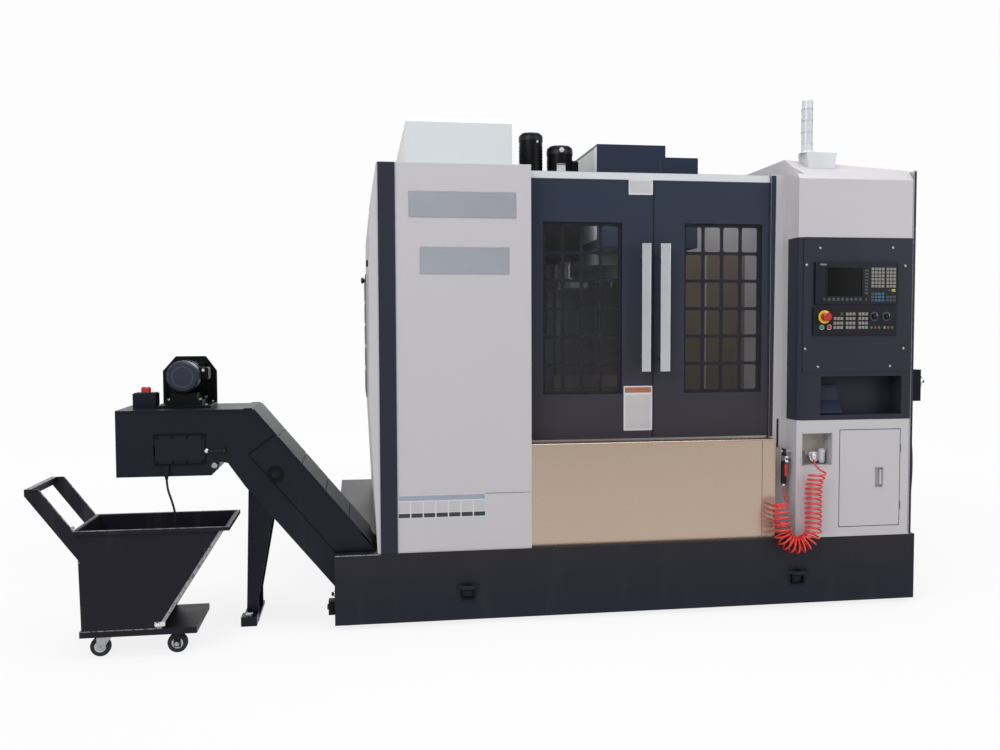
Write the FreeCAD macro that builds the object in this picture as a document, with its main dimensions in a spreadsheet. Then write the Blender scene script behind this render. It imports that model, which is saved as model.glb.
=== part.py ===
import FreeCAD, Part
import math
import os
import re
import Sketcher
from FreeCAD import Rotation, Vector

# A vertical machining center with its chip conveyor and chip cart.
# Millimetres, +Z up, +X to the operator's right, +Y from the front to the back.
# The origin is on the floor, at the middle of the base's footprint and of its
# four anchor holes. Depths are given behind the base's front edge, through depth().

os.makedirs("parts", exist_ok=True)
doc = FreeCAD.newDocument("machining_center")
sheet = doc.addObject("Spreadsheet::Sheet", "Sizes")
SIZES = {}
NODES = {}


def sizes(**values):
    """Adds named driving sizes to the sheet: millimetres, degrees or counts."""
    for name, value in values.items():
        row = len(SIZES) + 1
        sheet.set(f"A{row}", name)
        sheet.set(f"B{row}", str(value))
        sheet.setAlias(f"B{row}", name)
        SIZES[name] = value
    doc.recompute()


def bound(expression):
    """The same expression with each size name pointing into the sheet."""
    def point(match):
        word = match.group(0)
        return "Sizes." + word if word in SIZES else word
    return re.sub(r"[a-z_][a-z0-9_]*", point, str(expression))


def value(expression):
    return float(sheet.evalExpression(str(expression)))


def depth(expression):
    """A place along Y, given as a depth behind the base's front edge."""
    return f"({expression})-base_depth/2"


def node(label, shape):
    """Names a finished sub-part; the name is also its file's name."""
    shape.Label = label
    NODES[label] = shape
    return shape


def box(name, x, y, z):
    """A block between two places along each axis."""
    solid = doc.addObject("Part::Box", name)
    for side, axis, span in zip(("Length", "Width", "Height"), "xyz", (x, y, z)):
        solid.setExpression(side, bound(f"({span[1]})-({span[0]})"))
        solid.setExpression("Placement.Base." + axis, bound(span[0]))
    return solid


TURN = {"x": Rotation(Vector(0, 1, 0), 90), "y": Rotation(Vector(1, 0, 0), -90), "z": Rotation()}
ACROSS = {"x": "yz", "y": "xz", "z": "xy"}


def cylinder(name, axis, centre, span, radius):
    """A round bar along one axis; centre gives the two other coordinates."""
    solid = doc.addObject("Part::Cylinder", name)
    solid.Placement = FreeCAD.Placement(Vector(), TURN[axis])
    solid.setExpression("Radius", bound(radius))
    solid.setExpression("Height", bound(f"({span[1]})-({span[0]})"))
    solid.setExpression("Placement.Base." + axis, bound(span[0]))
    for other, place in zip(ACROSS[axis], centre):
        solid.setExpression("Placement.Base." + other, bound(place))
    return solid


def fuse(name, parts):
    solid = doc.addObject("Part::MultiFuse", name)
    solid.Shapes = parts
    return solid


def cut(name, base, tools):
    solid = doc.addObject("Part::Cut", name)
    solid.Base = base
    solid.Tool = tools[0] if len(tools) == 1 else fuse(name + "_tools", tools)
    return solid


def group(name, parts):
    """Separate solids of one kind that share a node."""
    solid = doc.addObject("Part::Compound", name)
    solid.Links = parts
    return solid


def fix(sketch, kind, element, point, expression):
    index = sketch.addConstraint(
        Sketcher.Constraint(kind, -1, 1, element, point, value(expression)))
    sketch.setExpression(f"Constraints[{index}]", bound(expression))


def loop(sketch, points):
    """A closed polygon whose corners are placed by expressions."""
    first = sketch.GeometryCount
    count = len(points)
    spots = [Vector(value(a), value(b), 0) for a, b in points]
    for i in range(count):
        sketch.addGeometry(Part.LineSegment(spots[i], spots[(i + 1) % count]), False)
    for i in range(count):
        after = first + (i + 1) % count
        sketch.addConstraint(Sketcher.Constraint("Coincident", first + i, 2, after, 1))
        fix(sketch, "DistanceX", first + i, 1, points[i][0])
        fix(sketch, "DistanceY", first + i, 1, points[i][1])


def ring(sketch, across, up, radius):
    """A circle placed and sized by expressions."""
    index = sketch.GeometryCount
    centre = Vector(value(across), value(up), 0)
    sketch.addGeometry(Part.Circle(centre, Vector(0, 0, 1), value(radius)), False)
    size = sketch.addConstraint(Sketcher.Constraint("Radius", index, value(radius)))
    sketch.setExpression(f"Constraints[{size}]", bound(radius))
    fix(sketch, "DistanceX", index, 3, across)
    fix(sketch, "DistanceY", index, 3, up)


def drawing(body, name, plane, place="0"):
    """An empty sketch on one of the body's own planes, moved along its normal."""
    origin = next(o for o in body.Origin.OriginFeatures if o.Role == plane + "_Plane")
    sketch = body.newObject("Sketcher::SketchObject", name)
    sketch.AttachmentSupport = [(origin, "")]
    sketch.MapMode = "FlatFace"
    sketch.setExpression("AttachmentOffset.Base.z", bound(place))
    return sketch


def prism(name, plane, points, span, holes=()):
    """A flat outline, with round holes, made thick between two places."""
    body = doc.addObject("PartDesign::Body", name)
    place = f"-({span[1]})" if plane == "XZ" else span[0]
    sketch = drawing(body, name + "_outline", plane, place)
    loop(sketch, points)
    for hole in holes:
        ring(sketch, *hole)
    pad = body.newObject("PartDesign::Pad", name + "_pad")
    pad.Profile = sketch
    pad.setExpression("Length", bound(f"({span[1]})-({span[0]})"))
    return body


TURNED = {"x": ("XY", "H_Axis"), "y": ("XY", "V_Axis"), "z": ("XZ", "V_Axis")}


def turned(name, axis, centre, profile):
    """A turned piece: profile is (place along the axis, radius) pairs."""
    body = doc.addObject("PartDesign::Body", name)
    plane, line = TURNED[axis]
    sketch = drawing(body, name + "_profile", plane)
    along_first = axis == "x"
    loop(sketch, [(a, r) if along_first else (r, a) for a, r in profile])
    turn = body.newObject("PartDesign::Revolution", name + "_turn")
    turn.Profile = sketch
    turn.ReferenceAxis = (sketch, [line])
    turn.Angle = 360
    for other, place in zip(ACROSS[axis], centre):
        body.setExpression("Placement.Base." + other, bound(place))
    return body


def soften(body, kind, size, chooser):
    """Fillets or chamfers the edges of a body that the chooser picks."""
    doc.recompute()
    tip = body.Tip
    names = [f"Edge{i}" for i, edge in enumerate(tip.Shape.Edges, 1) if chooser(edge)]
    dress = body.newObject("PartDesign::" + kind, f"{body.Name}_{kind.lower()}")
    dress.Base = (tip, names)
    dress.setExpression("Radius" if kind == "Fillet" else "Size", bound(size))
    return body


def along(axis):
    """Chooses straight edges that run along one axis."""
    def chosen(edge):
        a, b = edge.Vertexes[0].Point, edge.Vertexes[-1].Point
        gap = b - a
        return abs(getattr(gap, axis)) > 0.99 * max(gap.Length, 1e-9) and gap.Length > 1e-6
    return chosen


# General clearances: sheet steel, the slip between sliding faces, a loose round fit.
sizes(sheet=3, slip=0.3, loose=0.3)

# ---- Base tray and levelling pads -------------------------------------------------
# The tray is a closed welded base with an open trough along its front for the chip
# conveyor; its left end has a low sill that the conveyor climbs over.
sizes(base_length=2600, base_depth=2000, floor_gap=20, base_top=314, base_wall=6)
sizes(base_floor=12, trough_back=396, lip_depth=50, sill_top=158, notch_front=56, notch_back=394)
sizes(pad_inset=150, pad_reach=30, pad_length=150, pad_width=100, pad_thick=14)
sizes(anchor_radius=9, jack_radius=16, jack_offset=70)
sizes(lug_left=-744, lug_right=736, lug_height=163, lug_length=100, lug_out=26, lug_thick=14)


def base_tray():
    under = "floor_gap"
    floor = "floor_gap+base_floor"
    lip = "base_top-base_wall"
    section = [(depth("0"), under), (depth("base_depth"), under), (depth("base_depth"), "base_top"),
               (depth("trough_back"), "base_top"), (depth("trough_back"), floor),
               (depth("base_wall"), floor), (depth("base_wall"), lip), (depth("lip_depth"), lip),
               (depth("lip_depth"), "base_top"), (depth("0"), "base_top")]
    half = "base_length/2"
    trunk = prism("tray_section", "YZ", section, (f"-{half}+base_wall", f"{half}-base_wall"))
    sill = [(depth("0"), under), (depth("base_depth"), under), (depth("base_depth"), "base_top"),
            (depth("notch_back"), "base_top"), (depth("notch_back"), "sill_top"),
            (depth("notch_front"), "sill_top"), (depth("notch_front"), "base_top"),
            (depth("0"), "base_top")]
    left = prism("tray_left_end", "YZ", sill, (f"-{half}", f"-{half}+base_wall"))
    right = box("tray_right_end", (f"{half}-base_wall", half),
                (depth("0"), depth("base_depth")), (under, "base_top"))
    lugs = []
    for side in ("left", "right"):
        centre = f"lug_{side}"
        ear = [(f"{centre}-lug_length/2", depth("0")), (f"{centre}-lug_length/4", depth("-lug_out")),
               (f"{centre}+lug_length/4", depth("-lug_out")), (f"{centre}+lug_length/2", depth("0"))]
        spans = ("lug_height-lug_thick/2", "lug_height+lug_thick/2")
        lugs.append(prism(f"lug_{side}_ear", "XY", ear, spans))
    gland = cylinder("base_gland", "z", ("cable_x", depth("cable_y")),
                     ("base_top-1", "base_top+lower_gland"), "gland_radius")
    node("base_tray", fuse("tray", [trunk, left, right, gland] + lugs))


def leveling_pads():
    # Six pads carry the base on jack screws; the four corner pads have anchor holes.
    pads = []
    for row, y in enumerate(("-base_depth/2+pad_inset", "base_depth/2-pad_inset")):
        for column, (x, inward) in enumerate((("-base_length/2+pad_inset", 1), ("0", 0),
                                              ("base_length/2-pad_inset", -1))):
            name = f"pad_{row}{column}"
            sign = inward if inward else 1
            far = f"({x})+({sign})*(pad_length-pad_reach)"
            near = f"({x})-({sign})*pad_reach"
            low, high = (near, far) if sign > 0 else (far, near)
            plate = box(name + "_plate", (low, high),
                        (f"{y}-pad_width/2", f"{y}+pad_width/2"), ("0", "pad_thick"))
            jack = cylinder(name + "_jack", "z", (f"({x})+({sign})*jack_offset", y),
                            ("pad_thick", "floor_gap"), "jack_radius")
            whole = fuse(name, [plate, jack])
            if inward:
                hole = cylinder(name + "_anchor", "z", (x, y), ("-1", "pad_thick+1"), "anchor_radius")
                whole = cut(name + "_drilled", whole, [hole])
            pads.append(whole)
    node("leveling_pads", group("pads", pads))


# ---- Castings, saddle, table and head ----------------------------------------------
sizes(spindle_x=100, spindle_y=680, bed_half=330, bed_front=200, bed_foot=430, bed_back=1700)
sizes(bed_top=560, bed_nose=480, bed_knee=400, way_gauge=240, way_width=70, way_rise=30, way_back=1190)
sizes(column_front=1230, column_half=330, column_waist=250, waist_height=1300, column_top=1980)
sizes(column_way_gauge=180, column_way_width=60, column_way_low=900, column_way_high=1950)
sizes(saddle_length=500, saddle_half=380, saddle_rise=110, saddle_edge=40)
sizes(cross_way_half=420, cross_way_gauge=180)
sizes(table_half=500, table_width=500, table_top=870, table_rim=60, table_foot=200)
sizes(slot_count=5, slot_pitch=90, slot_width=18, slot_depth=30, slot_head=32, slot_head_height=14)
sizes(nose_height=1500, nose_radius=95, nose_drop=60, head_half=150, head_front=560, head_top=2060)
sizes(carriage_half=230, carriage_thick=70, carriage_top=2080, spindle_bore=52, bore_depth=190)
sizes(cover_left=-57, cover_step=282, cover_right=446, cover_front=500)
sizes(cover_top=2129, cover_low_top=2073, cover_bottom=1640)


def bed_casting():
    side = [(depth("bed_foot"), "base_top"), (depth("bed_back"), "base_top"),
            (depth("bed_back"), "bed_top"), (depth("bed_front"), "bed_top"),
            (depth("bed_front"), "bed_nose"), (depth("bed_foot"), "bed_knee")]
    trunk = prism("bed_trunk", "YZ", side, ("spindle_x-bed_half", "spindle_x+bed_half"))
    parts = [trunk]
    for sign, name in (("-", "left"), ("+", "right")):
        middle = f"spindle_x{sign}way_gauge"
        parts.append(box(f"bed_way_{name}", (f"{middle}-way_width/2", f"{middle}+way_width/2"),
                         (depth("bed_front"), depth("way_back")), ("bed_top", "bed_top+way_rise")))
    node("bed_casting", fuse("bed", parts))


def column_casting():
    front = [("spindle_x-column_half", "bed_top"), ("spindle_x+column_half", "bed_top"),
             ("spindle_x+column_waist", "waist_height"), ("spindle_x+column_waist", "column_top"),
             ("spindle_x-column_waist", "column_top"), ("spindle_x-column_waist", "waist_height")]
    parts = [prism("column_trunk", "XZ", front, (depth("column_front"), depth("bed_back")))]
    for sign, name in (("-", "left"), ("+", "right")):
        middle = f"spindle_x{sign}column_way_gauge"
        parts.append(box(f"column_way_{name}",
                         (f"{middle}-column_way_width/2", f"{middle}+column_way_width/2"),
                         (depth("column_front-way_rise"), depth("column_front")),
                         ("column_way_low", "column_way_high")))
    node("column_casting", fuse("column", parts))


def saddle():
    low = "bed_top+way_rise+slip"
    high = f"{low}+saddle_rise"
    section = [("spindle_x-saddle_half", low), ("spindle_x+saddle_half", low),
               ("spindle_x+saddle_half", f"{high}-saddle_edge"),
               ("spindle_x+saddle_half-saddle_edge", high),
               ("spindle_x-saddle_half+saddle_edge", high),
               ("spindle_x-saddle_half", f"{high}-saddle_edge")]
    span = (depth("spindle_y-saddle_length/2"), depth("spindle_y+saddle_length/2"))
    parts = [prism("saddle_block", "XZ", section, span)]
    for sign, name in (("-", "front"), ("+", "rear")):
        middle = f"spindle_y{sign}cross_way_gauge"
        parts.append(box(f"cross_way_{name}", ("spindle_x-cross_way_half", "spindle_x+cross_way_half"),
                         (depth(f"{middle}-way_width/2"), depth(f"{middle}+way_width/2")),
                         (f"{high}-saddle_edge", f"{high}+way_rise")))
    node("saddle", fuse("saddle_whole", parts))


def work_table():
    # The table's section: a rim over a narrower foot, with T-slots along its length.
    low = "bed_top+way_rise*2+saddle_rise+slip*2"
    back = depth("spindle_y+table_width/2")
    front = depth("spindle_y-table_width/2")
    section = [(depth("spindle_y-table_foot"), low), (depth("spindle_y+table_foot"), low),
               (depth("spindle_y+table_foot"), "table_top-table_rim"), (back, "table_top-table_rim"),
               (back, "table_top")]
    for i in reversed(range(SIZES["slot_count"])):
        middle = depth(f"spindle_y+({i}-(slot_count-1)/2)*slot_pitch")
        neck, deep = "table_top-slot_depth+slot_head_height", "table_top-slot_depth"
        section += [(f"{middle}+slot_width/2", "table_top"), (f"{middle}+slot_width/2", neck),
                    (f"{middle}+slot_head/2", neck), (f"{middle}+slot_head/2", deep),
                    (f"{middle}-slot_head/2", deep), (f"{middle}-slot_head/2", neck),
                    (f"{middle}-slot_width/2", neck), (f"{middle}-slot_width/2", "table_top")]
    section += [(front, "table_top"), (front, "table_top-table_rim"),
                (depth("spindle_y-table_foot"), "table_top-table_rim")]
    body = prism("table_block", "YZ", section, ("spindle_x-table_half", "spindle_x+table_half"))
    node("work_table", body)


def spindle_head():
    rear = depth("column_front-way_rise-slip")
    face = depth("column_front-way_rise-slip-carriage_thick")
    carriage = box("carriage", ("spindle_x-carriage_half", "spindle_x+carriage_half"),
                   (face, rear), ("nose_height", "carriage_top"))
    side = [(depth("head_front"), "nose_height+nose_drop"), (face, "nose_height+nose_drop"),
            (face, "head_top"), (depth("head_front+60"), "head_top"),
            (depth("head_front"), "head_top-60")]
    block = prism("head_block", "YZ", side, ("spindle_x-head_half", "spindle_x+head_half"))
    centre = ("spindle_x", depth("spindle_y"))
    nose = cylinder("head_nose", "z", centre, ("nose_height", "nose_height+nose_drop"), "nose_radius")
    bore = cylinder("head_bore", "z", centre, ("nose_height-1", "nose_height+bore_depth"), "spindle_bore")
    node("spindle_head", cut("head", fuse("head_casting", [carriage, block, nose]), [bore]))


def head_cover():
    # A folded cover, open below and behind, with a lower step on its right.
    def outline(skin, low):
        return [(f"cover_left+{skin}", low), (f"cover_right-{skin}", low),
                (f"cover_right-{skin}", f"cover_low_top-{skin}"),
                (f"cover_step-{skin}", f"cover_low_top-{skin}"),
                (f"cover_step-{skin}", f"cover_top-{skin}"), (f"cover_left+{skin}", f"cover_top-{skin}")]
    back = depth("column_front-way_rise-slip-carriage_thick")
    shell = prism("cover_outer", "XZ", outline("0", "cover_bottom"), (depth("cover_front"), back))
    inner = prism("cover_inner", "XZ", outline("sheet", "cover_bottom-10"),
                  (depth("cover_front+sheet"), f"{back}+10"))
    node("head_cover", cut("cover", shell, [inner]))


sizes(spindle_flange=60, spindle_shaft=50, flange_drop=12, taper_mouth=22.2, taper_end=12.6)
sizes(taper_depth=66, spindle_length=180)


def spindle():
    # The taper narrows by 7 in 24 to the drawbar's bore.
    low = "nose_height-flange_drop"
    high = "nose_height-slip"
    profile = [(low, "taper_mouth"), (low, "spindle_flange"), (high, "spindle_flange"),
               (high, "spindle_shaft"), ("nose_height+spindle_length", "spindle_shaft"),
               ("nose_height+spindle_length", "taper_end"), (f"{low}+taper_depth", "taper_end")]
    node("spindle", turned("spindle_turned", "z", ("spindle_x", depth("spindle_y")), profile))


# ---- Tool magazine, changer and change arm -----------------------------------------
# The magazine's wheel turns about an axis along X, on the changer's stub shaft.
sizes(wheel_height=1750, wheel_left=-620, wheel_right=-596, wheel_radius=345, wheel_bore=32)
sizes(pot_count=24, pot_circle=320, pot_radius=33, pot_right=-530)
sizes(changer_left=-410, changer_right=-125, changer_front=560, changer_rear=860)
sizes(changer_low=1580, changer_high=1935, stub_radius=31.7, stub_collar=45)
sizes(bracket_left=-330, bracket_rear=1480, bracket_low=1640, bracket_high=1900)
sizes(tall_motor_x=-341, tall_motor_radius=57.5, tall_motor_top=2207)
sizes(short_motor_x=-196, short_motor_radius=63, short_motor_top=2147, motor_y=700)
sizes(arm_x=-170, arm_low=1440, arm_high=1480, arm_half=35, arm_reach=270, arm_tip=50)
sizes(arm_hub=48, arm_shaft=35, grip_radius=32, grip_tip=62)


def tool_magazine():
    centre = (depth("spindle_y"), "wheel_height")
    body = doc.addObject("PartDesign::Body", "wheel")
    disc = drawing(body, "wheel_disc", "YZ", "wheel_left")
    ring(disc, "0", "0", "wheel_radius")
    ring(disc, "0", "0", "wheel_bore")
    pad = body.newObject("PartDesign::Pad", "wheel_pad")
    pad.Profile = disc
    pad.setExpression("Length", bound("wheel_right-wheel_left"))
    spot = drawing(body, "pot_outline", "YZ", "wheel_left")
    corners = [(math.cos(math.pi / 4 * i), math.sin(math.pi / 4 * i)) for i in range(8)]
    loop(spot, [(f"pot_radius*{a:.4f}", f"pot_circle+pot_radius*{b:.4f}") for a, b in corners])
    pot = body.newObject("PartDesign::Pad", "pot")
    pot.Profile = spot
    pot.setExpression("Length", bound("pot_right-wheel_left"))
    doc.recompute()
    pots = body.newObject("PartDesign::PolarPattern", "pots")
    pots.Originals = [pot]
    pots.Axis = (disc, ["N_Axis"])
    pots.Angle = 360
    pots.setExpression("Occurrences", bound("pot_count"))
    body.Tip = pots
    body.setExpression("Placement.Base.y", bound(centre[0]))
    body.setExpression("Placement.Base.z", bound(centre[1]))
    node("tool_magazine", body)


def changer_unit():
    # Cam box on a bracket from the column's side, with its two motors standing on top.
    inner = "spindle_x-column_waist"
    plan = [("changer_left", depth("changer_front")), ("changer_right", depth("changer_front")),
            ("changer_right", depth("changer_rear")), (inner, depth("changer_rear")),
            (inner, depth("bracket_rear")), ("bracket_left", depth("bracket_rear")),
            ("bracket_left", depth("changer_rear")), ("changer_left", depth("changer_rear"))]
    parts = [prism("changer_bracket", "XY", plan, ("bracket_low", "bracket_high")),
             box("cam_box", ("changer_left", "changer_right"),
                 (depth("changer_front"), depth("changer_rear")), ("changer_low", "changer_high"))]
    centre = (depth("spindle_y"), "wheel_height")
    stub = [("wheel_left", "0"), ("wheel_left", "stub_radius"), ("wheel_right+slip", "stub_radius"),
            ("wheel_right+slip", "stub_collar"), ("changer_left+5", "stub_collar"),
            ("changer_left+5", "0")]
    parts.append(turned("stub_shaft", "x", centre, stub))
    for name in ("tall", "short"):
        radius = f"{name}_motor_radius"
        high = f"{name}_motor_top"
        shape = [("changer_high-5", "0"), ("changer_high-5", f"{radius}*0.9"),
                 ("changer_high+20", f"{radius}*0.9"), ("changer_high+20", radius),
                 (f"{high}-10", radius), (high, f"{radius}-10"), (high, "0")]
        parts.append(turned(f"{name}_motor", "z", (f"{name}_motor_x", depth("motor_y")), shape))
    node("changer_unit", fuse("changer", parts))


def change_arm():
    # A double-ended arm, parked along Y, with a round grip in each end.
    x, y = "arm_x", depth("spindle_y")
    far = "arm_reach+arm_tip"
    plan = [(f"{x}-arm_half", f"{y}-arm_reach"), (f"{x}-grip_tip", f"{y}-arm_reach"),
            (f"{x}-grip_tip+14", f"{y}-({far})"), (f"{x}+arm_half", f"{y}-({far})"),
            (f"{x}+arm_half", f"{y}+arm_reach"), (f"{x}+grip_tip", f"{y}+arm_reach"),
            (f"{x}+grip_tip-14", f"{y}+({far})"), (f"{x}-arm_half", f"{y}+({far})")]
    blade = prism("arm_blade", "XY", plan, ("arm_low", "arm_high"))
    hub = turned("arm_hub_turned", "z", (x, y),
                 [("arm_low", "0"), ("arm_low", "arm_hub"), ("arm_high+20", "arm_hub"),
                  ("arm_high+20", "arm_shaft"), ("changer_low-slip", "arm_shaft"),
                  ("changer_low-slip", "0")])
    grips = [cylinder(f"grip_{i}", "z", (x, f"{y}{s}arm_reach"), ("arm_low-1", "arm_high+1"),
                      "grip_radius") for i, s in enumerate("-+")]
    node("change_arm", cut("arm", fuse("arm_whole", [blade, hub]), grips))


# ---- Enclosure ----------------------------------------------------------------------
sizes(panel_left=-1038, panel_right=-468, panel_front=5, panel_top=1935, return_depth=105)
sizes(flange_depth=150, post_outer=-1108, post_depth=60)
sizes(side_top=-1112, side_shoulder=-1142, side_belly=-1149, side_foot=-1120)
sizes(shoulder_height=1742, belly_height=936, wall_depth=1710, slot_low=330)
sizes(window_front=480, window_rear=1180, window_low=936, window_high=1504, window_rows=5)
sizes(window_frame=16, window_bar=22, conveyor_gap=380)
sizes(strip_left=1269, enclosure_right=1281, strip_top=1950)
sizes(rear_door_left=-540, rear_door_right=620, cabinet_low=430, cabinet_high=1870, cabinet_rear=1975)


def left_side_outline(skin):
    """The left side's bulged line in the XZ plane, moved inward by a skin."""
    return [(f"side_foot+{skin}", "base_top"), (f"side_belly+{skin}", "belly_height"),
            (f"side_shoulder+{skin}", "shoulder_height"), (f"side_top+{skin}", "panel_top")]


def left_panels():
    front = depth("panel_front")
    skin = depth("panel_front+sheet")
    plan = [("panel_left", front), ("panel_right", front), ("panel_right", depth("return_depth")),
            ("panel_right-sheet", depth("return_depth")), ("panel_right-sheet", skin),
            ("panel_left+sheet", skin), ("panel_left+sheet", depth("post_depth")),
            ("panel_left", depth("post_depth"))]
    face = prism("front_face", "XY", plan, ("base_top", "panel_top"))
    flange = box("front_flange", ("panel_left", "panel_right"), (front, depth("flange_depth")),
                 ("panel_top-sheet", "panel_top"))
    node("left_front_panel", fuse("front_panel", [face, flange]))
    plan = [("post_outer", depth("0")), ("panel_left", depth("0")),
            ("panel_left", depth("post_depth")), ("panel_left-sheet", depth("post_depth")),
            ("panel_left-sheet", depth("sheet")), ("post_outer+sheet", depth("sheet")),
            ("post_outer+sheet", depth("post_depth")), ("post_outer", depth("post_depth"))]
    node("left_corner_post", prism("corner_post", "XY", plan, ("base_top", "panel_top")))
    line = left_side_outline("0")
    inner = left_side_outline("sheet")
    skin = prism("side_skin", "XZ", line + inner[::-1], (depth("sheet"), depth("wall_depth")))
    edge = prism("side_edge", "XZ", line + [("post_outer", "panel_top"), ("post_outer", "base_top")],
                 (depth("sheet"), depth("sheet*2")))
    tools = [box("side_notch", ("side_belly-1", "post_outer-slip"),
                 (depth("notch_front"), depth("notch_back")), ("base_top-1", "conveyor_gap"))]
    frame = [box("window_frame_block", ("side_belly-6", "side_belly+12"),
                 (depth("window_front"), depth("window_rear")), ("window_low", "window_high"))]
    pitch = "(window_high-window_low-window_frame)/window_rows"
    for row in range(SIZES["window_rows"]):
        low = f"window_low+window_frame+{row}*{pitch}"
        tools.append(box(f"window_gap_{row}", ("side_belly-20", "side_belly+20"),
                         (depth("window_front+window_frame"), depth("window_rear-window_frame")),
                         (low, f"{low}+{pitch}-window_frame")))
    node("left_side_panel", cut("side_cut", fuse("side", [skin, edge] + frame), tools))


def right_and_rear():
    plan = [("strip_left", depth("0")), ("enclosure_right", depth("0")),
            ("enclosure_right", depth("wall_depth")), ("enclosure_right-sheet", depth("wall_depth")),
            ("enclosure_right-sheet", depth("sheet")), ("strip_left", depth("sheet"))]
    node("right_side_panel", prism("right_side", "XY", plan, ("base_top", "strip_top")))
    line = left_side_outline("0") + [("enclosure_right", "panel_top"), ("enclosure_right", "base_top")]
    wall = prism("rear_sheet", "XZ", line, (depth("wall_depth"), depth("wall_depth+sheet")))
    span = (depth("wall_depth+sheet"), depth("cabinet_rear"))
    outer = box("cabinet_outer", ("rear_door_left", "rear_door_right"), span,
                ("cabinet_low", "cabinet_high"))
    inner = box("cabinet_inner", ("rear_door_left+sheet", "rear_door_right-sheet"),
                (depth("wall_depth+sheet*2"), depth("cabinet_rear+1")),
                ("cabinet_low+sheet", "cabinet_high-sheet"))
    node("rear_wall", fuse("rear", [wall, cut("rear_cabinet", outer, [inner])]))
    back = "cabinet_rear+slip"
    door = box("rear_door_skin", ("rear_door_left", "rear_door_right"),
               (depth(back), depth(f"{back}+sheet")), ("cabinet_low", "cabinet_high"))
    bar = box("rear_door_latch", ("rear_door_left+30", "rear_door_left+60"),
              (depth(f"{back}+sheet"), depth(f"{back}+sheet+22")),
              ("(cabinet_low+cabinet_high)/2-80", "(cabinet_low+cabinet_high)/2+80"))
    node("electrical_door", fuse("rear_door", [door, bar]))


sizes(roof_left=-979, roof_right=-508, roof_front=250, roof_rear=1450, roof_top=2185, roof_bevel=28)
sizes(lip_right=-160, lip_front=292, lip_rear=330, lip_rise=19)


def roof_box():
    # A folded hood with bevelled top edges over the magazine, on a flat roof sheet.
    def hood(name, skin, low):
        solid = doc.addObject("PartDesign::Body", name)
        sketch = drawing(solid, name + "_plan", "XY", low)
        loop(sketch, [(f"roof_left+{skin}", depth(f"roof_front+{skin}")),
                      (f"roof_right-{skin}", depth(f"roof_front+{skin}")),
                      (f"roof_right-{skin}", depth(f"roof_rear-{skin}")),
                      (f"roof_left+{skin}", depth(f"roof_rear-{skin}"))])
        pad = solid.newObject("PartDesign::Pad", name + "_pad")
        pad.Profile = sketch
        pad.setExpression("Length", bound(f"roof_top-{skin}-({low})"))
        doc.recompute()
        top = value(f"roof_top-{skin}")
        return soften(solid, "Chamfer", "roof_bevel",
                      lambda edge: min(v.Z for v in edge.Vertexes) > top - 0.01)
    outer = hood("roof_outer", "0", "panel_top")
    inner = hood("roof_inner", "sheet", "panel_top-10")
    floor = box("roof_sheet", ("post_outer", "panel_right"),
                (depth("panel_front"), depth("wall_depth")), ("panel_top", "panel_top+sheet"))
    lip = box("roof_lip", ("panel_right", "lip_right"), (depth("lip_front"), depth("lip_rear")),
              ("panel_top", "panel_top+lip_rise"))
    node("roof_box", cut("roof", fuse("roof_whole", [floor, lip, outer]), [inner]))


sizes(apron_front=30, apron_right=642, ledge_height=757, ledge_depth=150)
sizes(door_front=112, door_thick=28, door_low=765, door_high=1898, door_meet=100, door_gap=2)
sizes(door_left_edge=-480, door_right_edge=661, groove_depth=12, groove_width=10, rail_width=5)
sizes(rail_left=-1035, rail_right=1266, rail_foot=6, rail_top=1932, rail_clear=2)
sizes(pane_low=962, pane_high=1714, pane_left_a=-396, pane_left_b=-42, pane_right_a=243, pane_right_b=606)
sizes(pane_set=3, glass_thick=5, guard_thick=6, guard_columns=4, guard_rows=6, guard_bar=14)
sizes(guard_corner=10, handle_front=52, handle_thick=10, handle_low=1062, handle_high=1620)
sizes(handle_left_a=31, handle_left_b=72, handle_right_a=115, handle_right_b=160, standoff=10)
sizes(post_right=725, post_face=101, standoff_inset=60)


def front_apron():
    top, under = "ledge_height", "ledge_height-sheet"
    side = [(depth("apron_front"), "base_top"), (depth("apron_front+sheet"), "base_top"),
            (depth("apron_front+sheet"), under), (depth("ledge_depth"), under),
            (depth("ledge_depth"), top), (depth("apron_front"), top)]
    bend = prism("apron_bend", "YZ", side, ("panel_right", "apron_right"))
    end = box("apron_end", ("apron_right-sheet", "apron_right"),
              (depth("apron_front"), depth("post_face+sheet")), ("base_top", top))
    node("front_apron", fuse("apron", [bend, end]))
    plan = [("apron_right", depth("post_face")), ("post_right", depth("post_face")),
            ("post_right", depth("post_face+sheet")), ("apron_right", depth("post_face+sheet"))]
    node("door_post", prism("post", "XY", plan, ("base_top", "panel_top")))


def door_rails():
    middle = "door_front+door_thick/2"
    fin = (depth(f"{middle}-rail_width/2"), depth(f"{middle}+rail_width/2"))
    broad = (depth("door_front+2"), depth("door_front+door_thick-2"))
    long = ("rail_left", "rail_right")
    fin_top = "door_low+groove_depth-slip"
    lower = [box("rail_foot_bar", long, broad, ("ledge_height", "ledge_height+rail_foot")),
             box("rail_fin", long, fin, ("ledge_height", fin_top))]
    fin_low = "door_high-groove_depth+rail_clear"
    upper = [box("rail_top_bar", long, broad, ("door_high+rail_clear", "rail_top")),
             box("rail_top_fin", long, fin, (fin_low, "rail_top"))]
    node("door_rails", group("rails", [fuse("rail_low", lower), fuse("rail_high", upper)]))


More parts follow.
